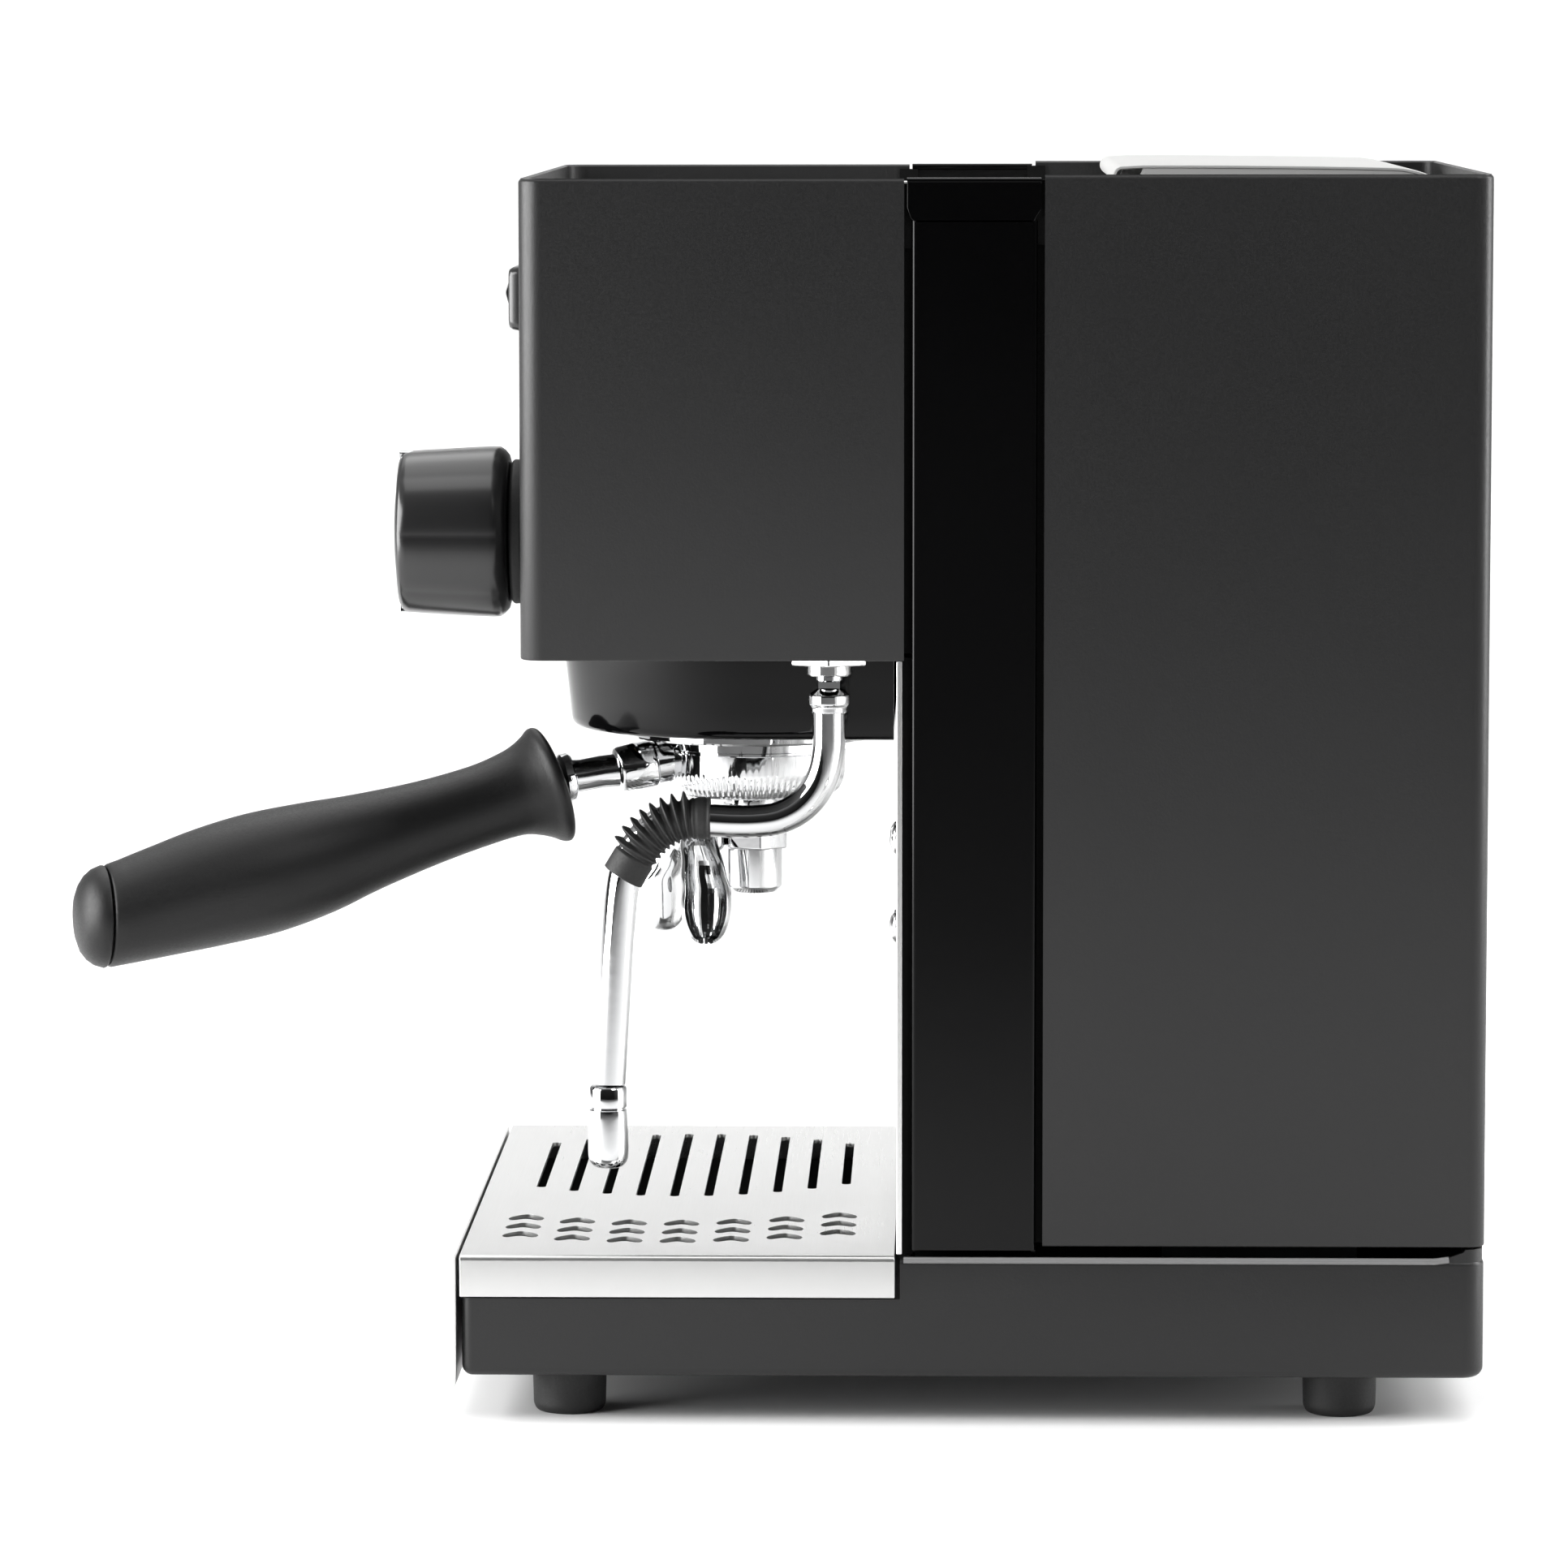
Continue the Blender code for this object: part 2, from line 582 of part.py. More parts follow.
def make_switches(looks):
    """Four framed rockers in a row, each turning on a cross axis, and a lamp."""
    names = ("power", "brew", "hot_water", "steam")
    front = HEAD_FRONT - 3.9
    for name, x in zip(names, switch_centres()):
        bezel = add_object(name + "_switch_frame",
                           slab((x - SWITCH_HALF_W, front, SWITCH_Z - SWITCH_HALF_H),
                                (x + SWITCH_HALF_W, HEAD_FRONT - GAP, SWITCH_Z + SWITCH_HALF_H)),
                           looks["soft_plastic"])
        soften(bezel, 0.8)
        carve(bezel, slab((x - SWITCH_HALF_W + 1.9, HEAD_FRONT - 2, SWITCH_Z - SWITCH_HALF_H + 1.9),
                          (x + SWITCH_HALF_W - 1.9, HEAD_FRONT + 19, SWITCH_Z + SWITCH_HALF_H - 1.9)),
              "UNION")
        carve(bezel, slab((x - SWITCH_HALF_W + 3.0, front - 5, SWITCH_Z - SWITCH_HALF_H + 3.0),
                          (x + SWITCH_HALF_W - 3.0, HEAD_FRONT + 16, SWITCH_Z + SWITCH_HALF_H - 3.0)))
        pivot_y = HEAD_FRONT - 1.0
        rig = add_rig(name + "_rocker_axis", (x, pivot_y, SWITCH_Z))
        half = SWITCH_HALF_H - 3.5
        outline = [(front + 1.6, -half), (front - 0.9, 1.4), (front + 0.3, half),
                   (HEAD_FRONT + 0.4, half), (HEAD_FRONT + 4.0, 3.2), (HEAD_FRONT + 9.0, 1.8),
                   (HEAD_FRONT + 9.0, -1.8), (HEAD_FRONT + 4.0, -3.2), (HEAD_FRONT + 0.4, -half)]
        left = x - SWITCH_HALF_W + 3.4
        width = 2 * (SWITCH_HALF_W - 3.4)
        add_object(name + "_rocker",
                   prism([(left, y, SWITCH_Z + z) for y, z in outline], (width, 0, 0)),
                   looks["soft_plastic"], (x, pivot_y, SWITCH_Z), rig)
    lens = [(0, 3.4), (2.2, 3.0), (4.0, 1.8), (6.0, 1.6), (6.0, GAP), (4.0, GAP),
            (4.0, -14.0), (0, -14.0)]
    add_object("heating_lamp", turned(lens, (LAMP_X, HEAD_FRONT, SWITCH_Z), axis="-Y", steps=16),
               looks["lamp_lens"])


def make_knob(looks):
    """The steam knob, its badge ring and the stem that reaches into the valve."""
    pivot = (KNOB_X, KNOB_BACK, KNOB_Z)
    rig = add_rig("steam_knob_axis", pivot)
    length = KNOB_BACK - KNOB_FRONT
    profile = [(3.4, 0), (20.0, 0), (23.0, 1.6), (24.0, 3.2), (21.6, length - 1.2),
               (20.6, length), (17.0, length + 0.8), (17.0, length - 3.0), (3.4, length - 3.0)]
    add_object("steam_knob", turned(profile, pivot, axis="-Y", steps=32),
               looks["soft_plastic"], pivot, rig)
    cap = [(0, length - 2.7), (16.7, length - 2.7), (16.7, length + 0.7), (9.0, length + 1.2),
           (0, length + 1.4)]
    add_object("knob_cap", turned(cap, pivot, axis="-Y", steps=32),
               looks["soft_plastic"], pivot, rig)
    stem = [(0, length - 3.3), (3.1, length - 3.3), (3.1, -58.0), (0, -58.0)]
    add_object("valve_stem", turned(stem, pivot, axis="-Y", steps=16),
               looks["brass"], pivot, rig)


def wand_path():
    """The bent tube: down from the ball, forward under the head, then down again."""
    points = [(17.1, 196.6), (17.1, 190.0), (16.9, 184.0), (15.6, 177.5), (12.9, 172.0),
              (8.6, 167.6), (3.0, 164.9), (-3.0, 164.0), (-10.0, 163.9), (-19.0, 164.4),
              (-25.5, 164.6), (-31.0, 162.6), (-35.8, 158.0), (-39.2, 151.5), (-41.0, 143.5),
              (-42.2, 130.0), (-43.4, 110.0), (-44.6, 90.2)]
    return [(WAND_X, y, z) for y, z in points]


def make_wand(looks):
    """A ball joint as two turning pieces, the bent tube, its grip and its tip."""
    seat_rig = add_rig("wand_swivel_axis", (WAND_X, WAND_Y, WAND_PIVOT_Z))
    seat = add_object("wand_swivel",
                      turned([(0, 203.2), (3.8, 203.2), (3.8, 220.0), (0, 220.0)],
                             (WAND_X, WAND_Y, 0), steps=16),
                      looks["chrome"], (WAND_X, WAND_Y, WAND_PIVOT_Z), seat_rig)
    tongue = slab((WAND_X - 1.4, WAND_Y - 3.0, 197.4), (WAND_X + 1.4, WAND_Y + 3.0, 204.6))
    carve(seat, tongue, "UNION")
    tilt_rig = add_rig("wand_tilt_axis", (WAND_X, WAND_Y, WAND_PIVOT_Z))
    pivot = (WAND_X, WAND_Y, WAND_PIVOT_Z)
    path = wand_path()
    tube = add_object("steam_wand", pipe(path, WAND_RADIUS, sides=16), looks["chrome"],
                      pivot, tilt_rig)
    collar = turned([(0, 193.8), (5.2, 193.8), (5.8, 195.0), (5.8, 199.6), (3.6, 201.3), (0, 201.3)],
                    (WAND_X, WAND_Y, 0), steps=16)
    carve(tube, collar, "UNION")
    carve(tube, slab((WAND_X - 1.8, WAND_Y - 8, 195.4), (WAND_X + 1.8, WAND_Y + 8, 206.0)))
    tip = [(0, 65.9), (3.6, 66.2), (5.2, 67.6), (5.6, 70.0), (5.1, 82.5), (4.7, 83.2),
           (5.1, 83.9), (5.0, 87.8), (5.7, 88.4), (5.7, 89.4), (0, 89.4)]
    add_object("steam_tip", turned(tip, (WAND_X, -45.0, 0), steps=16), looks["chrome"],
               pivot, tilt_rig)
    bend = path[8:15]
    add_object("wand_grip", hollow_pipe(bend, 6.6, WAND_RADIUS + GAP, sides=14),
               looks["rubber"], pivot, tilt_rig)


def along_handle(distance, height):
    """A point in the portafilter's upright plane, by distance from the group axis."""
    return Vector((distance * math.sin(PORTAFILTER_SWING),
                   GROUP_Y - distance * math.cos(PORTAFILTER_SWING), height))


def handle_ring(distance, height, radius, tilt, count):
    """A ring across the handle whose plane leans by tilt degrees from upright."""
    across = Vector((math.cos(PORTAFILTER_SWING), math.sin(PORTAFILTER_SWING), 0))
    lean = math.radians(tilt)
    forward = along_handle(1.0, 0.0) - along_handle(0.0, 0.0)
    upward = Vector((0, 0, math.cos(lean))) - forward * math.sin(lean)
    return ring_points(along_handle(distance, height), across, upward, radius, count)


def make_portafilter(looks):
    axis = (0, GROUP_Y, 177.0)
    rig = add_rig("portafilter_axis", axis)
    bowl = [(0, 163.2), (12.0, 163.2), (23.0, 163.8), (25.4, 166.0), (26.4, 170.0),
            (26.5, 184.4), (29.8, 185.0), (29.8, 196.4), (0, 196.4)]
    body = add_object("portafilter_bowl", turned(bowl, (0, GROUP_Y, 0), steps=32),
                      looks["chrome"], axis, rig)
    for start in EAR_STARTS:
        carve(body, upright(sector(28.9, 33.4, start, EAR_SPAN), 185.4, 188.9), "UNION")
    neck = loft([handle_ring(22.0, 174.4, 6.4, -9.4, 16), handle_ring(40.6, 171.6, 6.4, -9.4, 16),
                 handle_ring(41.8, 171.4, 4.8, -9.4, 16), handle_ring(58.6, 169.0, 4.7, -9.4, 16)])
    carve(body, neck, "UNION")
    carve(body, turned([(0, 166.4), (21.5, 167.0), (24.9, 170.0), (24.9, 200.0), (0, 200.0)],
                       (0, GROUP_Y, 0), steps=32))
    carve(body, turned([(0, 158.0), (4.0, 158.0), (4.0, 172.0), (0, 172.0)],
                       (0, GROUP_Y, 0), steps=16))
    sections = ((59.6, 168.4, 13.0, -17.3), (61.2, 167.8, 17.2, -17.3), (65.0, 167.2, 15.4, -16.0),
                (73.0, 165.3, 12.3, -15.0), (82.0, 162.4, 11.7, -15.0), (98.0, 157.8, 12.3, -15.0),
                (116.1, 152.8, 14.2, -15.0), (130.0, 148.9, 16.3, -14.9), (146.0, 145.0, 17.6, -14.5),
                (161.2, 141.5, 17.1, -13.0), (176.0, 137.8, 15.8, -9.0), (191.6, 134.1, 14.7, 0.0))
    grip = add_object("portafilter_handle",
                      loft([handle_ring(*s, 20) for s in sections]),
                      looks["soft_plastic"], axis, rig)
    carve(grip, loft([handle_ring(55.0, 169.6, 5.1, -9.4, 14), handle_ring(59.9, 168.8, 5.1, -9.4, 14)]))
    cap = ((191.95, 134.1, 14.7, 0.0), (195.6, 133.9, 13.6, 0.0), (198.6, 133.7, 10.4, 0.0),
           (200.6, 134.4, 4.0, 0.0))
    add_object("handle_end_cap", loft([handle_ring(*s, 20) for s in cap]),
               looks["soft_plastic"], axis, rig)
    basket = [(0, 173.4), (22.0, 173.4), (24.0, 176.0), (24.3, 196.8), (29.4, 196.8),
              (29.4, 197.1), (23.4, 197.1), (23.1, 177.0), (21.4, 174.4), (0, 174.4)]
    add_object("filter_basket", turned(basket, (0, GROUP_Y, 0), steps=32),
               looks["stainless"], axis, rig)
    make_spout(looks, axis, rig)


def make_spout(looks, axis, rig):
    """The threaded hub and two leaf-shaped troughs, open outwards, on a yoke in front."""
    hub = [(0, 134.7), (6.4, 134.7), (8.0, 136.6), (8.0, 147.0), (9.8, 147.6), (9.8, 160.6),
           (8.0, 161.4), (8.0, 162.9), (0, 162.9)]
    spout = add_object("double_spout", turned(hub, (0, GROUP_Y, 0), steps=24),
                       looks["chrome"], axis, rig)
    carve(spout, slab((-7.0, GROUP_Y - 24.0, 146.0), (7.0, GROUP_Y - 4.0, 157.0)), "UNION")
    for x, y in ((17.0, GROUP_Y - 13.7), (-17.0, GROUP_Y - 27.1)):
        side = 1 if x > 0 else -1
        start = (y + 2 * (GROUP_Y - 17.0)) / 3
        rows = [(x - side, y, 121.2, 2.4, 2.6), (x, y, 125.0, 4.6, 5.4), (x, y, 130.0, 5.6, 7.0),
                (x * 0.94, y, 136.0, 5.8, 7.2), (x * 0.84, (start + y) / 2, 143.6, 5.4, 6.4),
                (x * 0.62, start, 150.6, 4.4, 5.2), (x * 0.30, start, 154.0, 3.4, 4.6)]
        leaf = [[Vector((cx + rx * math.cos(a), cy + ry * math.sin(a), z))
                 for a in [2 * math.pi * k / 16 for k in range(16)]] for cx, cy, z, rx, ry in rows]
        carve(spout, loft(leaf), "UNION")
        scoop = [[Vector((cx + side * 2.6 + (rx - 0.6) * math.cos(a), cy + (ry - 1.4) * math.sin(a), z))
                  for a in [2 * math.pi * (k + 0.5) / 16 for k in range(16)]]
                 for cx, cy, z, rx, ry in ((x, y, 112.0, 4.4, 4.4), (x, y, 124.0, 4.6, 5.0),
                                           (x, y, 130.4, 5.6, 7.0), (x * 0.94, y, 136.6, 5.8, 7.2),
                                           (x * 0.84, (start + y) / 2, 144.4, 5.4, 6.2))]
        carve(spout, loft(scoop))
    carve(spout, turned([(0, 140.0), (3.6, 140.0), (3.6, 170.0), (0, 170.0)],
                        (0, GROUP_Y, 0), steps=16))


def make_drip_tray(looks):
    rig = add_rig("tray_slide", (0, PLATE_FRONT, BASE_FLOOR_TOP))
    front, back = PLATE_BACK + 1.4, 34.0
    wall = 1.5
    outline = rounded_outline(-TRAY_HALF, TRAY_HALF, front, back, 3.0, 4.0)
    inner = rounded_outline(-TRAY_HALF + wall, TRAY_HALF - wall, front + wall, back - wall, 2.0, 2.5)
    bottom = BASE_FLOOR_TOP + GAP
    open_shell("drip_tray", outline, inner, bottom, TRAY_TOP, bottom + 1.5,
               looks["soft_plastic"], rig, (0, front, bottom))
    plate = [(PLATE_FRONT, 46.9), (PLATE_BACK, 46.9), (PLATE_BACK, 12.0),
             (PLATE_BACK - 0.2, 10.4), (PLATE_FRONT - 0.5, 10.4), (PLATE_FRONT, 12.0)]
    plate = add_object("tray_front",
                       prism([(-HALF_WIDTH, y, z) for y, z in plate], (2 * HALF_WIDTH, 0, 0)),
                       looks["stainless"], (0, PLATE_FRONT, 30.0), rig)
    carve(plate, slab((-60, PLATE_BACK - 0.6, 20.0), (60, PLATE_BACK + 1.0, 30.0)), "UNION")
    lift = add_rig("grate_lift", (0, GRATE_FRONT, GRATE_TOP))
    make_grate(looks, lift)


def grate_slots():
    """Ten slots across the grate, by their front-to-back place and their two bowed ends."""
    slots = []
    for i in range(10):
        y = GRATE_FRONT + 15.8 + 9.92 * i
        near = 17.3 - 0.0095 * (y + 28.0) ** 2
        far = 0.0088 * (y + 24.0) ** 2 - 100.2
        slots.append((y, near, far))
    return slots


def make_grate(looks, rig):
    outer = [(GRATE_HALF, GRATE_SKIRT), (GRATE_HALF, GRATE_TOP - 1.6), (GRATE_HALF - 0.5, GRATE_TOP - 0.4),
             (GRATE_HALF - 1.6, GRATE_TOP)]
    inner = [(GRATE_HALF - GRATE_THICK - 0.6, GRATE_TOP - GRATE_THICK),
             (GRATE_HALF - GRATE_THICK, GRATE_TOP - 2.0), (GRATE_HALF - GRATE_THICK, GRATE_SKIRT)]
    half = outer + [(-x, z) for x, z in reversed(outer)]
    under = [(-GRATE_HALF + GRATE_THICK, GRATE_SKIRT),
             (-GRATE_HALF + GRATE_THICK, GRATE_TOP - 2.0),
             (-GRATE_HALF + GRATE_THICK + 0.6, GRATE_TOP - GRATE_THICK)]
    outline = half + under + inner
    grate = add_object("drip_grate",
                       prism([(x, GRATE_FRONT, z) for x, z in outline],
                             (0, GRATE_BACK - GRATE_FRONT, 0)),
                       looks["stainless"], (0, GRATE_FRONT, GRATE_TOP), rig)
    slots = bmesh.new()
    for y, near, far in grate_slots():
        box(slots, (far, y - 1.3, 40), (near, y + 1.3, 52))
    carve(grate, slots)


def make_tank(looks):
    """The lift-out water tank with its loose lid resting on the rim."""
    rig = add_rig("tank_lift", (0, TANK_BACK, TANK_BOTTOM))
    outline = rounded_outline(-TANK_HALF, TANK_HALF, TANK_FRONT, TANK_BACK, 8.0, 8.0)
    wall = TANK_WALL
    inner = rounded_outline(-TANK_HALF + wall, TANK_HALF - wall, TANK_FRONT + wall,
                            TANK_BACK - wall, 6.0, 6.0)
    tank = open_shell("water_tank", outline, inner, TANK_BOTTOM, TANK_TOP, TANK_BOTTOM + 2.5,
                      looks["tank_plastic"], rig, (0, TANK_BACK, TANK_BOTTOM))
    centre = (0, (TANK_FRONT + TANK_BACK) / 2, 0)
    carve(tank, turned([(0, 140), (3.0, 140), (3.0, 152), (0, 152)], centre, steps=16))
    lid_rig = add_rig("lid_lift", (0, TANK_BACK, TANK_TOP))
    profile = [(95.2, 343.0), (95.4, 346.0), (97.5, 347.0), (103.0, 347.2), (130.0, 347.0),
               (160.0, 346.4), (176.0, 345.6), (186.0, 343.0), (192.0, 340.6), (192.0, 338.8),
               (185.0, 340.6), (175.0, 343.2), (160.0, 344.2), (130.0, 344.8), (103.0, 345.0),
               (98.6, 344.6), (97.6, 342.6)]
    lid = add_object("tank_lid",
                     prism([(-88.0, y, z) for y, z in profile], (176.0, 0, 0)),
                     looks["stainless"], (0, TANK_BACK, TANK_TOP), lid_rig)
    carve(lid, slab((-80.0, 104.0, 331.2), (80.0, 185.0, 333.4)), "UNION")
    carve(lid, slab((-80.0, 108.0, 332.0), (80.0, 111.0, 346.0)), "UNION")
    carve(lid, slab((-80.0, 170.0, 332.0), (80.0, 173.0, 344.6)), "UNION")


def build():
    clear_scene()
    looks = make_looks()
    make_base(looks)
    make_feet(looks)
    make_columns(looks)
    make_head_floor(looks)
    make_front_panel(looks)
    make_rear_panel(looks)
    make_splash(looks)
    make_top_deck(looks)
    make_group(looks)
    make_boiler(looks)
    make_steam_side(looks)
    make_solenoid(looks)
    make_pump_bay(looks)
    make_switches(looks)
    make_knob(looks)
    make_wand(looks)
    make_portafilter(looks)
    make_drip_tray(looks)
    make_tank(looks)


build()
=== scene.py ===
"""Looks of the espresso machine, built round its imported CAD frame.

Lengths in this file are millimetres; MM turns them into the metres of the scene.
"""

import math

import bmesh
import bpy
from mathutils import Matrix, Vector


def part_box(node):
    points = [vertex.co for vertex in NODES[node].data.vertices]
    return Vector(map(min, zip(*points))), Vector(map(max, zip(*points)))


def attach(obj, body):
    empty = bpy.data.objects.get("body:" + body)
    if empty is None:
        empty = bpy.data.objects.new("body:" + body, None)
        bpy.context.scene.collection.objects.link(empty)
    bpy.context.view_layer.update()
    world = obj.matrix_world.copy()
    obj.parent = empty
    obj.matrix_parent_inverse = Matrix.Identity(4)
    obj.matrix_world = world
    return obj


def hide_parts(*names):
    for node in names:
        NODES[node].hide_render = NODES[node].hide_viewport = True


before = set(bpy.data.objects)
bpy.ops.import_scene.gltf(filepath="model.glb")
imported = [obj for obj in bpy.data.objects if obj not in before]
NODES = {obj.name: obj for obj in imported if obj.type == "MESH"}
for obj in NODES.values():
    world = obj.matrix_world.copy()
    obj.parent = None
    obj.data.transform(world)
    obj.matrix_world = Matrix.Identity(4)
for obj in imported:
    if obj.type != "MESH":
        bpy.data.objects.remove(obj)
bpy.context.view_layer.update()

MM = 0.001


def edges_of(node):
    """A node's box in millimetres: x0, x1, y0, y1, z0, z1."""
    low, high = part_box(node)
    return tuple(v * 1000 for pair in zip(low, high) for v in pair)


def middle_of(node):
    """The middle of a node's box in millimetres."""
    x0, x1, y0, y1, z0, z1 = edges_of(node)
    return (x0 + x1) / 2, (y0 + y1) / 2, (z0 + z1) / 2


# ---------------------------------------------------------------- camera

CAMERA_PLACE = (2.02207, 0.05209, 0.37883)
CAMERA_YAW = 0.024476
CAMERA_PITCH = 0.104798
CAMERA_ROLL = -0.001176
CAMERA_LENS = 160.386


def make_camera():
    forward = Vector((-math.cos(CAMERA_PITCH) * math.cos(CAMERA_YAW),
                      -math.cos(CAMERA_PITCH) * math.sin(CAMERA_YAW),
                      -math.sin(CAMERA_PITCH)))
    right = forward.cross(Vector((0, 0, 1))).normalized()
    up = right.cross(forward)
    turned_right = right * math.cos(CAMERA_ROLL) + up * math.sin(CAMERA_ROLL)
    turned_up = up * math.cos(CAMERA_ROLL) - right * math.sin(CAMERA_ROLL)
    lens = bpy.data.cameras.new("camera")
    lens.lens = CAMERA_LENS
    lens.sensor_width = 36.0
    camera = bpy.data.objects.new("camera", lens)
    bpy.context.scene.collection.objects.link(camera)
    turn = Matrix((turned_right, turned_up, -forward)).transposed().to_4x4()
    camera.matrix_world = Matrix.Translation(CAMERA_PLACE) @ turn
    bpy.context.scene.camera = camera


make_camera()


# ---------------------------------------------------------------- materials

class Nodes:
    """Short calls for building a Principled material."""

    def __init__(self, name):
        self.material = bpy.data.materials.new(name)
        self.material.use_nodes = True
        self.tree = self.material.node_tree
        self.shader = self.tree.nodes["Principled BSDF"]
        self.coords = self.add("ShaderNodeTexCoord").outputs["Object"]

    def add(self, kind, **settings):
        node = self.tree.nodes.new(kind)
        for key, value in settings.items():
            setattr(node, key, value)
        return node

    def join(self, source, target):
        self.tree.links.new(source, target)

    def stretched(self, scale):
        node = self.add("ShaderNodeMapping")
        node.inputs["Scale"].default_value = scale
        self.join(self.coords, node.inputs["Vector"])
        return node.outputs["Vector"]

    def noise(self, scale, detail=3.0, stretch=(1, 1, 1), roughness=0.55):
        node = self.add("ShaderNodeTexNoise")
        node.inputs["Scale"].default_value = scale
        node.inputs["Detail"].default_value = detail
        node.inputs["Roughness"].default_value = roughness
        self.join(self.stretched(stretch), node.inputs["Vector"])
        return node.outputs["Fac"]

    def ramp(self, source, low, high, start=0.3, end=0.7):
        """Maps a grey texture to a range of numbers."""
        node = self.add("ShaderNodeMapRange")
        node.inputs["From Min"].default_value = start
        node.inputs["From Max"].default_value = end
        node.inputs["To Min"].default_value = low
        node.inputs["To Max"].default_value = high
        self.join(source, node.inputs["Value"])
        return node.outputs["Result"]

    def tint(self, source, dark, light):
        node = self.add("ShaderNodeMix", data_type="RGBA")
        node.inputs[6].default_value = (*dark, 1)
        node.inputs[7].default_value = (*light, 1)
        self.join(source, node.inputs[0])
        return node.outputs[2]

    def bump(self, source, strength, distance, under=None):
        node = self.add("ShaderNodeBump")
        node.inputs["Strength"].default_value = strength
        node.inputs["Distance"].default_value = distance
        self.join(source, node.inputs["Height"])
        if under is not None:
            self.join(under, node.inputs["Normal"])
        return node.outputs["Normal"]

    def set(self, **values):
        for key, value in values.items():
            self.shader.inputs[key.replace("_", " ")].default_value = value

    def wire(self, **sources):
        for key, source in sources.items():
            self.join(source, self.shader.inputs[key.replace("_", " ")])


def powder_coat(name, dark, light, roughness, grain=0.25):
    """Fine textured paint on sheet steel."""
    n = Nodes(name)
    cloud = n.noise(14.0, 3.0)
    fine = n.noise(1500.0, 2.0)
    n.wire(Base_Color=n.tint(cloud, dark, light))
    n.wire(Roughness=n.ramp(fine, roughness - 0.05, roughness + 0.05))
    n.wire(Normal=n.bump(fine, grain, 0.00012, n.bump(n.noise(260.0, 2.0), 0.08, 0.0004)))
    return n


def gloss_paint(name, colour, roughness):
    n = Nodes(name)
    ripple = n.noise(55.0, 2.0)
    dust = n.noise(2200.0, 2.0)
    lighter = tuple(c * 1.5 + 0.001 for c in colour)
    n.wire(Base_Color=n.tint(n.ramp(dust, 0.0, 1.0, 0.55, 0.9), colour, lighter))
    n.wire(Roughness=n.ramp(n.noise(22.0, 4.0), roughness, roughness + 0.05))
    n.wire(Normal=n.bump(ripple, 0.04, 0.0005))
    return n


def moulded(name, colour, roughness, grain=0.35, scale=1900.0):
    """Spark-eroded grain of moulded plastic."""
    n = Nodes(name)
    fine = n.noise(scale, 3.0, roughness=0.7)
    n.wire(Base_Color=n.tint(n.noise(30.0, 2.0), tuple(c * 0.85 for c in colour),
                             tuple(c * 1.2 for c in colour)))
    n.wire(Roughness=n.ramp(fine, roughness - 0.17 * grain, roughness + 0.28 * grain))
    n.wire(Normal=n.bump(fine, grain, 0.00018))
    return n


def brushed(name, colour, roughness, stretch, strength=0.25):
    """Satin steel with a fine grain that runs one way."""
    n = Nodes(name)
    lines = n.noise(1.0, 4.0, stretch, 0.7)
    smear = n.noise(9.0, 3.0)
    n.wire(Base_Color=n.tint(lines, tuple(c * 0.96 for c in colour), colour))
    spread = n.add("ShaderNodeMath", operation="ADD")
    n.join(n.ramp(lines, roughness - 0.03, roughness + 0.04), spread.inputs[0])
    n.join(n.ramp(smear, -0.02, 0.03), spread.inputs[1])
    n.wire(Roughness=spread.outputs["Value"])
    n.wire(Normal=n.bump(lines, strength, 0.00003))
    n.set(Metallic=1.0)
    return n


def polished(name, colour, roughness, wave=0.05):
    """Plated or polished metal with faint ripples and wipe marks."""
    n = Nodes(name)
    smear = n.noise(60.0, 4.0)
    n.wire(Base_Color=n.tint(smear, tuple(c * 0.94 for c in colour), colour))
    n.wire(Roughness=n.ramp(smear, roughness, roughness + 0.06, 0.35, 0.75))
    n.wire(Normal=n.bump(n.noise(160.0, 2.0), wave, 0.0003))
    n.set(Metallic=1.0)
    return n


LOOKS = {}


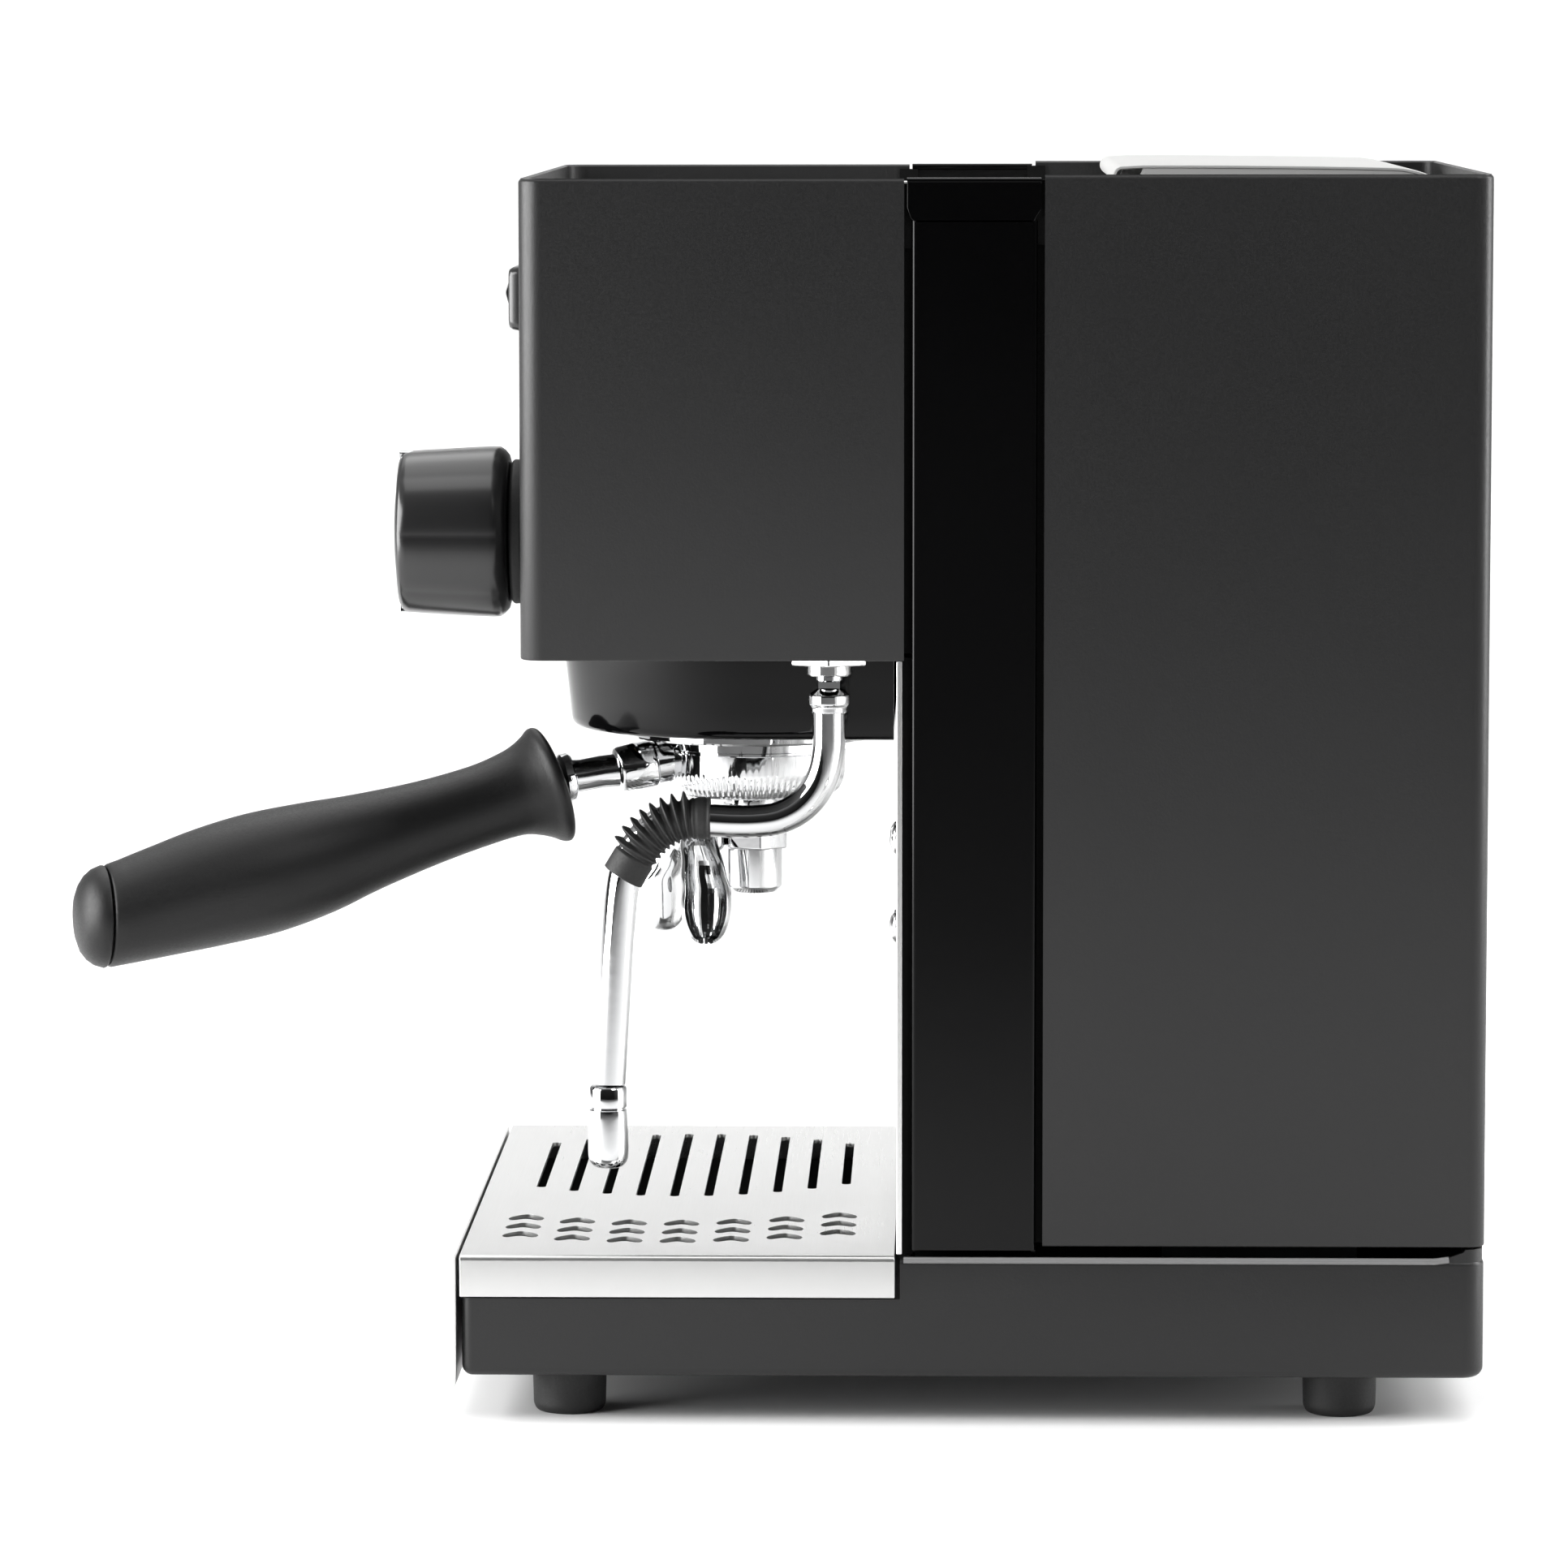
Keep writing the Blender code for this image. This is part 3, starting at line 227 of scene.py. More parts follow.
def make_looks():
    coat = powder_coat("black_powder_coat", (0.0085, 0.0085, 0.0087), (0.011, 0.011, 0.0112), 0.42)
    coat.shader.inputs["Specular IOR Level"].default_value = 0.36
    LOOKS["black_sheet"] = coat.material
    # Painted shade: a near-black coat, darker than the black sheet, for the strips behind the upright
    # joints, standing in for the shade inside the joints.
    seam_shade = powder_coat("seam_painted_shade_coat", (0.002, 0.002, 0.002), (0.003, 0.003, 0.003), 0.8)
    seam_shade.shader.inputs["Specular IOR Level"].default_value = 0.1
    LOOKS["seam_painted_shade"] = seam_shade.material
    # Painted highlight: a light grey coat for the ledge bead, far lighter than the black sheet, standing
    # in for the light caught on the rolled ledge.
    edge = powder_coat("bead_painted_highlight_coat", (0.14, 0.14, 0.141), (0.18, 0.18, 0.181), 0.34, 0.1)
    LOOKS["bead_painted_highlight"] = edge.material
    gloss = gloss_paint("gloss_black_paint", (0.0012, 0.0012, 0.0013), 0.09)
    gloss.shader.inputs["Specular IOR Level"].default_value = 0.16
    LOOKS["gloss_black"] = gloss.material
    tub = gloss_paint("gloss_black_plastic", (0.0012, 0.0012, 0.0013), 0.06)
    tub.shader.inputs["Specular IOR Level"].default_value = 0.17
    LOOKS["gloss_plastic"] = tub.material
    LOOKS["soft_plastic"] = moulded("soft_black_plastic", (0.012, 0.012, 0.0122), 0.42, 0.15).material
    handle = moulded("handle_black_plastic", (0.004, 0.004, 0.0041), 0.46, 0.3, 1300.0)
    handle.shader.inputs["Specular IOR Level"].default_value = 0.3
    LOOKS["handle_plastic"] = handle.material
    LOOKS["rubber"] = moulded("black_rubber", (0.006, 0.006, 0.006), 0.62, 0.3, 1400.0).material
    LOOKS["stainless"] = brushed("brushed_stainless", (0.66, 0.66, 0.655), 0.3,
                                 (40.0, 2600.0, 2600.0)).material
    LOOKS["stainless_up"] = brushed("brushed_stainless_upright", (0.74, 0.74, 0.735), 0.28,
                                    (2600.0, 2600.0, 40.0)).material
    LOOKS["stainless_across"] = brushed("brushed_stainless_across", (0.74, 0.74, 0.735), 0.3,
                                        (2600.0, 40.0, 2600.0)).material
    LOOKS["gloss_plastic_soft"] = moulded("satin_black_plastic", (0.010, 0.010, 0.0102), 0.24,
                                          0.03, 1500.0).material
    LOOKS["white_print"] = moulded("white_print", (0.6, 0.6, 0.6), 0.5, 0.1).material
    LOOKS["steel_polished"] = polished("polished_steel", (0.66, 0.66, 0.66), 0.12).material
    satin = brushed("satin_lid_steel", (0.42, 0.42, 0.415), 0.55, (2600.0, 40.0, 2600.0), 0.1)
    satin.set(Metallic=0.0)
    satin.shader.inputs["Specular IOR Level"].default_value = 0.06
    LOOKS["lid_steel"] = satin.material
    LOOKS["chrome"] = polished("polished_chrome", (0.58, 0.584, 0.59), 0.035).material
    LOOKS["brass"] = polished("cast_brass", (0.66, 0.46, 0.2), 0.3, 0.25).material
    LOOKS["copper"] = polished("drawn_copper", (0.72, 0.37, 0.22), 0.24, 0.1).material
    LOOKS["zinc"] = brushed("zinc_plate", (0.55, 0.56, 0.58), 0.38, (300.0, 900.0, 900.0)).material
    tank = Nodes("smoke_grey_plastic")
    tank.wire(Base_Color=tank.tint(tank.noise(20.0), (0.42, 0.44, 0.46), (0.5, 0.52, 0.54)))
    tank.wire(Roughness=tank.ramp(tank.noise(90.0, 4.0), 0.08, 0.22))
    tank.wire(Normal=tank.bump(tank.noise(40.0), 0.05, 0.0006))
    tank.set(IOR=1.49)
    tank.shader.inputs["Transmission Weight"].default_value = 0.75
    LOOKS["tank_plastic"] = tank.material
    lamp = Nodes("amber_lens")
    lamp.wire(Base_Color=lamp.tint(lamp.noise(300.0), (0.5, 0.16, 0.01), (0.75, 0.28, 0.03)))
    lamp.wire(Roughness=lamp.ramp(lamp.noise(500.0), 0.08, 0.2))
    lamp.wire(Normal=lamp.bump(lamp.noise(700.0), 0.1, 0.0002))
    lamp.shader.inputs["Transmission Weight"].default_value = 0.35
    LOOKS["lamp_lens"] = lamp.material


make_looks()


# ---------------------------------------------------------------- mesh helpers

def to_metres(name, bm):
    """A mesh in metres from a shape in millimetres, which is used up."""
    bmesh.ops.remove_doubles(bm, verts=bm.verts, dist=0.0004)
    bmesh.ops.recalc_face_normals(bm, faces=bm.faces)
    bmesh.ops.scale(bm, vec=(MM, MM, MM), verts=bm.verts)
    mesh = bpy.data.meshes.new(name)
    bm.to_mesh(mesh)
    bm.free()
    return mesh


def linked(name, data):
    thing = bpy.data.objects.new(name, data)
    bpy.context.scene.collection.objects.link(thing)
    return thing


def piece(name, bm, look, body, replaces=(), sharp=35.0, bevel=0.0, bevel_steps=2):
    """Links a shape in millimetres, with its finish and the body that it rides on."""
    mesh = to_metres(name, bm)
    mesh.materials.append(LOOKS[look])
    mesh.shade_smooth()
    mesh.set_sharp_from_angle(angle=math.radians(sharp))
    thing = linked(name, mesh)
    if bevel:
        step = thing.modifiers.new("edges", "BEVEL")
        step.width = bevel * MM
        step.segments = bevel_steps
        step.limit_method = "ANGLE"
        step.angle_limit = math.radians(32)
        step.harden_normals = True
    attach(thing, body)
    if replaces:
        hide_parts(*replaces)
    return thing


def cut_by(thing, bm, mode="DIFFERENCE"):
    """Applies one Boolean with a throwaway shape in millimetres."""
    tool = linked("tool", to_metres("tool", bm))
    step = thing.modifiers.new("cut", "BOOLEAN")
    step.operation = mode
    step.solver = "EXACT"
    step.object = tool
    settle(thing)
    bpy.data.objects.remove(tool, do_unlink=True)


def settle(thing):
    """Bakes an object's modifiers into its mesh."""
    graph = bpy.context.evaluated_depsgraph_get()
    graph.update()
    made = bpy.data.meshes.new_from_object(thing.evaluated_get(graph))
    old = thing.data
    thing.modifiers.clear()
    thing.data = made
    bpy.data.meshes.remove(old)


def box(bm, low, high):
    size = [b - a for a, b in zip(low, high)]
    middle = [(a + b) / 2 for a, b in zip(low, high)]
    bmesh.ops.create_cube(bm, size=1.0,
                          matrix=Matrix.Translation(middle) @ Matrix.Diagonal((*size, 1.0)))


def slab(low, high):
    bm = bmesh.new()
    box(bm, low, high)
    return bm


def prism(points, along, bm=None):
    bm = bm or bmesh.new()
    face = bm.faces.new([bm.verts.new(p) for p in points])
    raised = bmesh.ops.extrude_face_region(bm, geom=[face])
    moved = [g for g in raised["geom"] if isinstance(g, bmesh.types.BMVert)]
    bmesh.ops.translate(bm, vec=Vector(along), verts=moved)
    return bm


def upright(outline, low, high):
    return prism([(x, y, low) for x, y in outline], (0, 0, high - low))


TURNS = {"Z": Matrix.Identity(3),
         "-Y": Matrix.Rotation(math.pi / 2, 3, "X"),
         "+Y": Matrix.Rotation(-math.pi / 2, 3, "X")}


def turned(profile, centre, axis="Z", steps=72, bm=None):
    """Turns an outline of (radius, height) pairs about an axis through centre."""
    bm = bm or bmesh.new()
    spin = TURNS[axis]
    place = Vector(centre)
    rows = []
    for radius, height in profile:
        if radius <= 0:
            rows.append([bm.verts.new(place + spin @ Vector((0, 0, height)))])
            continue
        rows.append([bm.verts.new(place + spin @ Vector(
            (radius * math.cos(2 * math.pi * i / steps),
             radius * math.sin(2 * math.pi * i / steps), height))) for i in range(steps)])
    pairs = list(zip(rows, rows[1:]))
    if profile[0][0] > 0 or profile[-1][0] > 0:
        pairs.append((rows[-1], rows[0]))
    for first, second in pairs:
        skin_between(bm, first, second, steps)
    return bm


def plug(centre, radius, low, high, axis="Z", steps=72):
    """A plain round bar, to bore a hole with."""
    return turned([(0, low), (radius, low), (radius, high), (0, high)], centre, axis, steps)


def skin_between(bm, first, second, steps):
    for i in range(steps):
        j = (i + 1) % steps
        if len(first) == 1 and len(second) == 1:
            return
        if len(first) == 1:
            bm.faces.new((first[0], second[j], second[i]))
        elif len(second) == 1:
            bm.faces.new((first[i], first[j], second[0]))
        else:
            bm.faces.new((first[i], first[j], second[j], second[i]))


def splined(points, steps=4):
    """A finer run of points, or of rows of sizes, along a spline through the given ones."""
    made = []
    last = len(points) - 1
    for k in range(last):
        p0, p1 = points[max(k - 1, 0)], points[k]
        p2, p3 = points[k + 1], points[min(k + 2, last)]
        for s in range(steps):
            t = s / steps
            made.append(tuple(
                0.5 * (2 * b + (c - a) * t + (2 * a - 5 * b + 4 * c - d) * t * t
                       + (3 * b - a - 3 * c + d) * t ** 3)
                for a, b, c, d in zip(p0, p1, p2, p3)))
    made.append(tuple(points[last]))
    return made


def rounded(points, radius, steps=4):
    """Rounds the corners of an open outline of 2-D points."""
    made = [points[0]]
    for before, point, after in zip(points, points[1:], points[2:]):
        corner = Vector(point)
        back = Vector(before) - corner
        ahead = Vector(after) - corner
        size = min(radius, back.length * 0.49, ahead.length * 0.49)
        start = corner + back.normalized() * size
        end = corner + ahead.normalized() * size
        for s in range(steps + 1):
            t = s / steps
            made.append(tuple(start * (1 - t) ** 2 + corner * 2 * t * (1 - t) + end * t * t))
    made.append(points[-1])
    return made


def ring_points(centre, across, upward, radius, count):
    return [centre + across * radius * math.cos(2 * math.pi * i / count)
            + upward * radius * math.sin(2 * math.pi * i / count) for i in range(count)]


def loft(rings, closed=False):
    """A skin over rings of points; closed joins the last ring to the first."""
    bm = bmesh.new()
    loops = [[bm.verts.new(p) for p in ring] for ring in rings]
    pairs = list(zip(loops, loops[1:]))
    if closed:
        pairs.append((loops[-1], loops[0]))
    for first, second in pairs:
        skin_between(bm, first, second, len(first))
    if not closed:
        bm.faces.new(loops[0])
        bm.faces.new(list(reversed(loops[-1])))
    return bm


def frames_along(path):
    points = [Vector(p) for p in path]
    last = len(points) - 1
    tangents = [(points[min(i + 1, last)] - points[max(i - 1, 0)]).normalized()
                for i in range(len(points))]
    across = tangents[0].orthogonal().normalized()
    frames = []
    for point, tangent in zip(points, tangents):
        across = (across - tangent * across.dot(tangent)).normalized()
        frames.append((point, across, tangent.cross(across)))
    return frames


def pipe(path, radius, sides=32):
    return loft([ring_points(p, a, u, radius, sides) for p, a, u in frames_along(path)])


def corner_arc(cx, cy, radius, start, stop, steps):
    return [(cx + radius * math.cos(math.radians(start + (stop - start) * i / steps)),
             cy + radius * math.sin(math.radians(start + (stop - start) * i / steps)))
            for i in range(steps + 1)]


def rounded_outline(x0, x1, y0, y1, front_r, rear_r, steps=10):
    points = corner_arc(x1 - rear_r, y1 - rear_r, rear_r, 0, 90, steps)
    points += corner_arc(x0 + rear_r, y1 - rear_r, rear_r, 90, 180, steps)
    points += corner_arc(x0 + front_r, y0 + front_r, front_r, 180, 270, steps)
    points += corner_arc(x1 - front_r, y0 + front_r, front_r, 270, 360, steps)
    return points


def tub(node, profile, front=0.0, rear=0.0):
    """Rings of a rounded box round a node, from rows of inset, level and, if it varies, radius."""
    x0, x1, y0, y1 = edges_of(node)[:4]
    rings = []
    for inset, level, *corner in profile:
        front_r, rear_r = corner * 2 if corner else (front, rear)
        rings.append([Vector((x, y, level)) for x, y in rounded_outline(
            x0 + inset, x1 - inset, y0 + inset, y1 - inset, front_r, rear_r)])
    return rings


def finish_node(node, look):
    """Gives a CAD node a finished material."""
    mesh = NODES[node].data
    mesh.materials.clear()
    mesh.materials.append(LOOKS[look])


# ---------------------------------------------------------------- sheet-metal body

def shell_outline(node, radius, closed_end, sheet=1.2, steps=12):
    """A folded U of sheet seen from above, from a node's box."""
    x0, x1, front, back = edges_of(node)[:4]
    face, tips, way = (front, back, 1) if closed_end == "front" else (back, front, -1)
    outer = [(x0, tips)]
    inner = [(x1 - sheet, tips)]
    for step in range(steps + 1):
        turn = math.radians(90 * step / steps)
        outer.append((x0 + radius - radius * math.cos(turn),
                      face + way * (radius - radius * math.sin(turn))))
        inner.append((x1 - radius + (radius - sheet) * math.cos(turn),
                      face + way * (radius - (radius - sheet) * math.sin(turn))))
    outer += [(-x, y) for x, y in reversed(outer)]
    inner += [(-x, y) for x, y in reversed(inner)]
    return outer, inner[::-1]


RIM_ROLL = 1.3
FOOT_BREAK = 0.5


def folded_shell(node, radius, closed_end):
    """A U of sheet with a rolled top rim and a softened foot, as one closed skin."""
    outer, inner = shell_outline(node, radius, closed_end)
    low, high = edges_of(node)[4:]
    middle = [Vector((*((a + b) / 2 for a, b in zip(p, q)), 0)) for p, q in zip(outer, inner)]
    outer = [Vector((*p, 0)) for p in outer]
    inner = [Vector((*p, 0)) for p in inner]
    profile = [(FOOT_BREAK, low), (0.12, low + 0.2 * FOOT_BREAK + 0.1), (0.0, low + FOOT_BREAK)]
    for k in range(6):
        turn = math.radians(18 * k)
        profile.append((RIM_ROLL * (1 - math.cos(turn)), high - RIM_ROLL * (1 - math.sin(turn))))
    rows = []
    for inset, level in profile:
        share = min(inset / 0.6, 1.0)
        rows.append([o.lerp(m, share) + Vector((0, 0, level)) for o, m in zip(outer, middle)])
    for level in (high - 0.5, low):
        rows.append([p + Vector((0, 0, level)) for p in inner])
    bm = bmesh.new()
    loops = [[bm.verts.new(p) for p in row] for row in rows]
    for first, second in zip(loops, loops[1:] + loops[:1]):
        for i in range(len(outer) - 1):
            bm.faces.new((first[i], first[i + 1], second[i + 1], second[i]))
    bm.faces.new([row[0] for row in loops])
    bm.faces.new([row[-1] for row in reversed(loops)])
    return bm


def make_panels():
    front = piece("front_shell", folded_shell("front_panel", 6.5, "front"),
                  "black_sheet", "chassis", ["front_panel"], sharp=50)
    face = edges_of("front_panel")[2]
    for name in SWITCHES:
        x0, x1, _, _, z0, z1 = edges_of(name + "_switch_frame")
        cut_by(front, slab((x0 + 1.4, face - 4, z0 + 1.4), (x1 - 1.4, face + 4, z1 - 1.4)))
    for node, radius in (("heating_lamp", 4.4), ("valve_stem", 7.0)):
        x, _, z = middle_of(node)
        cut_by(front, plug((x, face, z), radius, -4, 4, "-Y", 32))
    rear = piece("rear_shell", folded_shell("rear_panel", 5.2, "rear"),
                 "black_sheet", "chassis", ["rear_panel"], sharp=50)
    x0, x1, _, _, z0, z1 = edges_of("power_inlet")
    back = edges_of("rear_panel")[3]
    cut_by(rear, slab((x0 - 0.5, back - 4, z0 - 0.5), (x1 + 0.5, back + 4, z1 + 0.5)))
    vents = bmesh.new()
    for row in range(5):
        for column in range(3):
            level = 242.5 + 12.0 * row
            middle = -28.0 + 28.0 * column
            outline = corner_arc(middle + 10, level, 1.9, -90, 90, 8)
            outline += corner_arc(middle - 10, level, 1.9, 90, 270, 8)
            prism([(x, back - 4, z) for x, z in outline], (0, 8, 0), vents)
    cut_by(rear, vents)


SWITCHES = ("power", "brew", "hot_water", "steam")


def make_base():
    """The low pan: rounded foot, cut-down front, a bead along the ledge and a rear upstand."""
    x0, x1, y0, y1, z0, z1 = edges_of("base_pan")
    step_y = edges_of("splash_panel")[2] + 1.0
    wall, foot, ledge = 1.4, 3.0, 1.6
    floor = z0 + wall
    turns = [math.radians(15 * k) for k in range(7)]
    profile = [(foot * (1 - math.sin(a)), z0 + foot * (1 - math.cos(a))) for a in turns]
    profile += [(ledge * (1 - math.cos(a)), z1 - ledge * (1 - math.sin(a))) for a in turns]
    profile += [(5.0, z1), (5.0, z1 - wall), (wall, z1 - wall - 0.2), (wall, floor)]
    rows = []
    for inset, level in profile:
        outline = rounded_outline(x0 + inset, x1 - inset, y0 + inset, y1 - inset,
                                  max(3.0 - inset, 0.3), max(6.5 - inset, 0.3))
        rows.append([Vector((x, y, level)) for x, y in outline])
    pan = piece("base_shell", loft(rows), "black_sheet", "chassis", ["base_pan"],
                sharp=50)
    skirt = edges_of("drip_grate")[4]
    cut_by(pan, slab((x0 - 5, y0 - 6, skirt - 0.4), (x1 + 5, step_y, z1 + 6)))
    cut_by(pan, slab((x0 + 3.0, y0 - 6, floor - 0.4), (x1 - 3.0, y0 + 6, z1 + 6)))
    for side, x in (("left", x0 + 0.55), ("right", x1 - 0.55)):
        run = [(x, step_y + 1.0, z1 - 0.35), (x, y1 - 14.0, z1 - 0.35), (x, y1 - 10.0, z1 + 0.2)]
        # The bead wears the light grey painted-highlight coat, standing in for the shine along the rolled
        # ledge.
        piece("base_bead_" + side, pipe(run, 0.95, 20), "bead_painted_highlight", "chassis")
    upstand = rounded_outline(x0 + 0.4, x1 - 0.4, y1 - 12.0, y1 - 0.4, 0.5, 6.0)
    inner = rounded_outline(x0 + 1.6, x1 - 1.6, y1 - 15.0, y1 - 1.6, 0.5, 5.0)
    lip = piece("base_upstand", upright(upstand, z1 - 3.0, z1 + 3.0), "black_sheet", "chassis",
                sharp=50)
    cut_by(lip, upright(inner, z1 - 5.0, z1 + 8.0))
    slope = [(y1 - 14.0, z1 + 0.3), (y1 - 10.5, z1 + 0.6), (y1 - 6.0, z1 + 2.2),
             (y1 - 4.0, z1 + 4.5), (y1 - 14.0, z1 + 4.5)]
    cut_by(lip, prism([(x0 - 5, y, z) for y, z in slope], (x1 - x0 + 10, 0, 0)))


def make_feet():
    for row in ("front", "rear"):
        for side in ("left", "right"):
            node = "foot_" + row + "_" + side
            x0, x1, _, _, z0, z1 = edges_of(node)
            x, y, _ = middle_of(node)
            r = (x1 - x0) / 2
            profile = [(0, z0 + 0.5), (5.0, z0 + 0.5), (5.4, z0)]
            profile += rounded([(5.6, z0), (r - 1.3, z0), (r - 0.3, z0 + 1.8), (r, z1)], 1.0)
            profile += [(r, z1), (0, z1)]
            piece(node + "_rubber", turned(profile, (x, y, 0)), "rubber", "chassis", [node])


def make_columns():
    """Gloss uprights: folded edges below, a plain wider ear at the top rim."""
    pan_top = edges_of("base_pan")[5]
    fold, sheet = 1.5, 1.2
    for side, sign in (("left", -1), ("right", 1)):
        node = "frame_column_" + side
        x0, x1, y0, y1, z0, z1 = edges_of(node)
        outer = max(abs(x0), abs(x1))
        lip = min(abs(x0), abs(x1))
        section = [(lip, y0)]
        section += corner_arc(outer - fold, y0 + fold, fold, 270, 360, 8)
        section += corner_arc(outer - fold, y1 - fold, fold, 0, 90, 8)
        section += [(lip, y1), (lip, y1 - sheet)]
        section += corner_arc(outer - fold, y1 - fold, fold - sheet, 90, 0, 8)
        section += corner_arc(outer - fold, y0 + fold, fold - sheet, 360, 270, 8)
        section += [(lip, y0 + sheet)]
        rows = [[Vector((sign * x, y, level)) for x, y in section]
                for level in (pan_top + 2.6, z1 - 11.5)]
        folded = piece(node + "_fold", loft(rows), "gloss_black", "chassis", [node],
                       sharp=50)
        inner_x = sorted((sign * (lip - 2.0), sign * (outer - 2.2)))
        cut_by(folded, slab((inner_x[0], y0 - 3, z1 - 16.4), (inner_x[1], y1 + 3, z1 + 4)))
        ear = [(y0 - 1.1, z1 - 0.8), (y0 - 1.1, z1 - 8.0), (y0 - 0.1, z1 - 11.0),
               (y0 + 1.3, z1 - 12.2), (y1 - 1.3, z1 - 12.2), (y1 - 0.2, z1 - 10.2),
               (y1 + 0.9, z1 - 8.6), (y1 + 0.9, z1 - 0.8)]
        plate = min(sign * (outer - sheet), sign * outer)
        piece(node + "_ear", prism([(plate, y, z) for y, z in ear], (sheet, 0, 0)),
              "gloss_black", "chassis", sharp=30, bevel=0.25)
        rim = [(sign * (outer - 0.9), y, z1 - 0.85) for y in (y0 - 1.1, y1 + 0.9)]
        piece(node + "_rim", pipe(rim, 0.95, 20), "gloss_black", "chassis")
        legs = bmesh.new()
        leg_x = sorted((sign * lip, sign * (lip + 8.0)))
        for a, b in ((y0, y0 + sheet), (y1 - sheet, y1)):
            box(legs, (leg_x[0], a, z0), (leg_x[1], b, pan_top + 4.0))
        piece(node + "_legs", legs, "gloss_black", "chassis", sharp=30)


def make_bulkheads():
    """Two sheet walls that tie the uprights together and close the gaps beside them."""
    column = edges_of("frame_column_right")
    half = column[0] + 0.5
    y0, y1 = column[2:4]
    floor = edges_of("head_floor")[4] + 1.0
    deck = edges_of("cup_tray")[4] - 0.8
    walls = bmesh.new()
    box(walls, (-half, y0 - 1.3, floor), (half, y0 - 0.3, deck))
    box(walls, (-half, y1 + 0.4, edges_of("base_pan")[5] + 4.0), (half, y1 + 1.4, deck))
    walls = piece("frame_bulkheads", walls, "gloss_black", "chassis", sharp=30)
    for x, z in ((0.0, 255.0), (-50.0, 300.0), (50.0, 300.0)):
        cut_by(walls, plug((x, 0, z), 9, y0 - 6, y1 + 6, "+Y"))


def make_seams():
    """Narrow strips behind the upright joints, so that no light shows through them."""
    front_y, rear_y = edges_of("frame_column_right")[2:4]
    shell = edges_of("front_panel")
    rear = edges_of("rear_panel")
    splash = edges_of("splash_panel")
    foot = edges_of("base_pan")[5]
    strips = bmesh.new()
    for sign in (-1, 1):
        for edge, near, far, a, b, low, high in (
                (shell[1], 4.2, 2.4, shell[3] - 4.0, front_y + 0.6, shell[4] + 0.8, shell[5] - 12.0),
                (rear[1], 4.2, 2.4, rear_y - 0.6, rear[2] + 4.0, rear[4] + 0.8, rear[5] - 12.0),
                (splash[1], 4.2, 2.4, splash[3] - 0.2, front_y + 0.6, foot + 1.0, shell[4] + 2.0),
                (shell[1], 2.3, 1.3, shell[3] - 3.0, front_y + 0.6, shell[5] - 19.0, shell[5] - 1.4),
                (rear[1], 2.3, 1.3, rear_y - 0.6, rear[2] + 3.0, rear[5] - 19.0, rear[5] - 1.4)):
            x = sorted((sign * (edge - near), sign * (edge - far)))
            box(strips, (x[0], a, low), (x[1], b, high))
    # The strips wear the near-black painted-shade coat: dark sheets where there is only shade.
    piece("frame_seam_strips", strips, "seam_painted_shade", "chassis", sharp=30)


def make_head_floor():
    finish_node("head_floor", "black_sheet")


def make_splash():
    x0, x1, y0, y1, z0, z1 = edges_of("splash_panel")
    panel = piece("splash_sheet", slab((x0, y0, z0), (x1, y1, z1)), "stainless_up", "chassis",
                  ["splash_panel"], bevel=0.35)
    settle(panel)
    dome = splined([(0, 2.1), (1.6, 1.98), (3.2, 1.45), (4.3, 0.7), (4.6, 0.15)], 5)
    dome += [(4.6, 0.05), (2.2, 0.0), (2.2, -3.5), (0, -3.5)]
    socket = [(1.35 * math.cos(math.radians(60 * i)), 1.35 * math.sin(math.radians(60 * i)))
              for i in range(6)]
    for side in ("left", "right"):
        node = "splash_screw_" + side
        x, _, z = middle_of(node)
        for name, level, replaced in ((node + "_head", z, [node]),
                                      ("splash_upper_screw_" + side, z + 24.5, ())):
            cut_by(panel, plug((x, y0, level), 2.6, -6, 6, "-Y", 24))
            screw = piece(name, turned(dome, (x, y0, level), "-Y", 48), "steel_polished",
                          "chassis", replaced)
            cut_by(screw, prism([(x + a, y0 - 4.0, level + b) for a, b in socket], (0, 3.2, 0)))


# ---------------------------------------------------------------- top of the machine

def make_top():
    _, _, y0, _, z0, z1 = edges_of("cup_tray")
    profile = [(0.4, z0), (0.0, z0 + 0.5), (0.0, z1 - 0.6), (0.3, z1 - 0.15), (0.7, z1),
               (1.0, z1 - 0.3), (1.2, z0 + 3.4), (1.8, z0 + 1.9), (3.2, z0 + 1.2)]
    piece("cup_tray_sheet", loft(tub("cup_tray", profile, 5.0, 1.6)), "stainless_across",
          "chassis", ["cup_tray"], sharp=40)
    domes = bmesh.new()
    dome = [(0, z0 - 0.8), (4.0, z0 - 0.8), (4.0, z0 + 1.1), (3.3, z0 + 1.75), (1.8, z0 + 2.1),
            (0, z0 + 2.2)]
    for row in range(6):
        for column in range(13):
            turned(dome, (-90.0 + 15.0 * column, y0 + 22.0 + 23.0 * row, 0), steps=20, bm=domes)
    piece("cup_tray_domes", domes, "stainless_across", "chassis")
    _, _, _, _, z0, z1 = edges_of("tank_surround")
    profile = [(0.5, z0), (0.0, z0 + 0.6), (0.0, z1 - 0.9), (0.3, z1 - 0.2), (0.8, z1),
               (1.3, z1 - 0.3), (1.6, z0 + 3.0), (2.4, z0 + 1.8), (4.0, z0 + 1.5)]
    surround = piece("tank_surround_frame", loft(tub("tank_surround", profile, 1.6, 4.5)),
                     "soft_plastic", "chassis", ["tank_surround"], sharp=40)
    x0, x1, y0, y1 = edges_of("water_tank")[:4]
    cut_by(surround, upright(rounded_outline(x0 - 1, x1 + 1, y0 - 1, y1 + 1, 8.5, 8.5),
                             z0 - 5, z1 + 5))


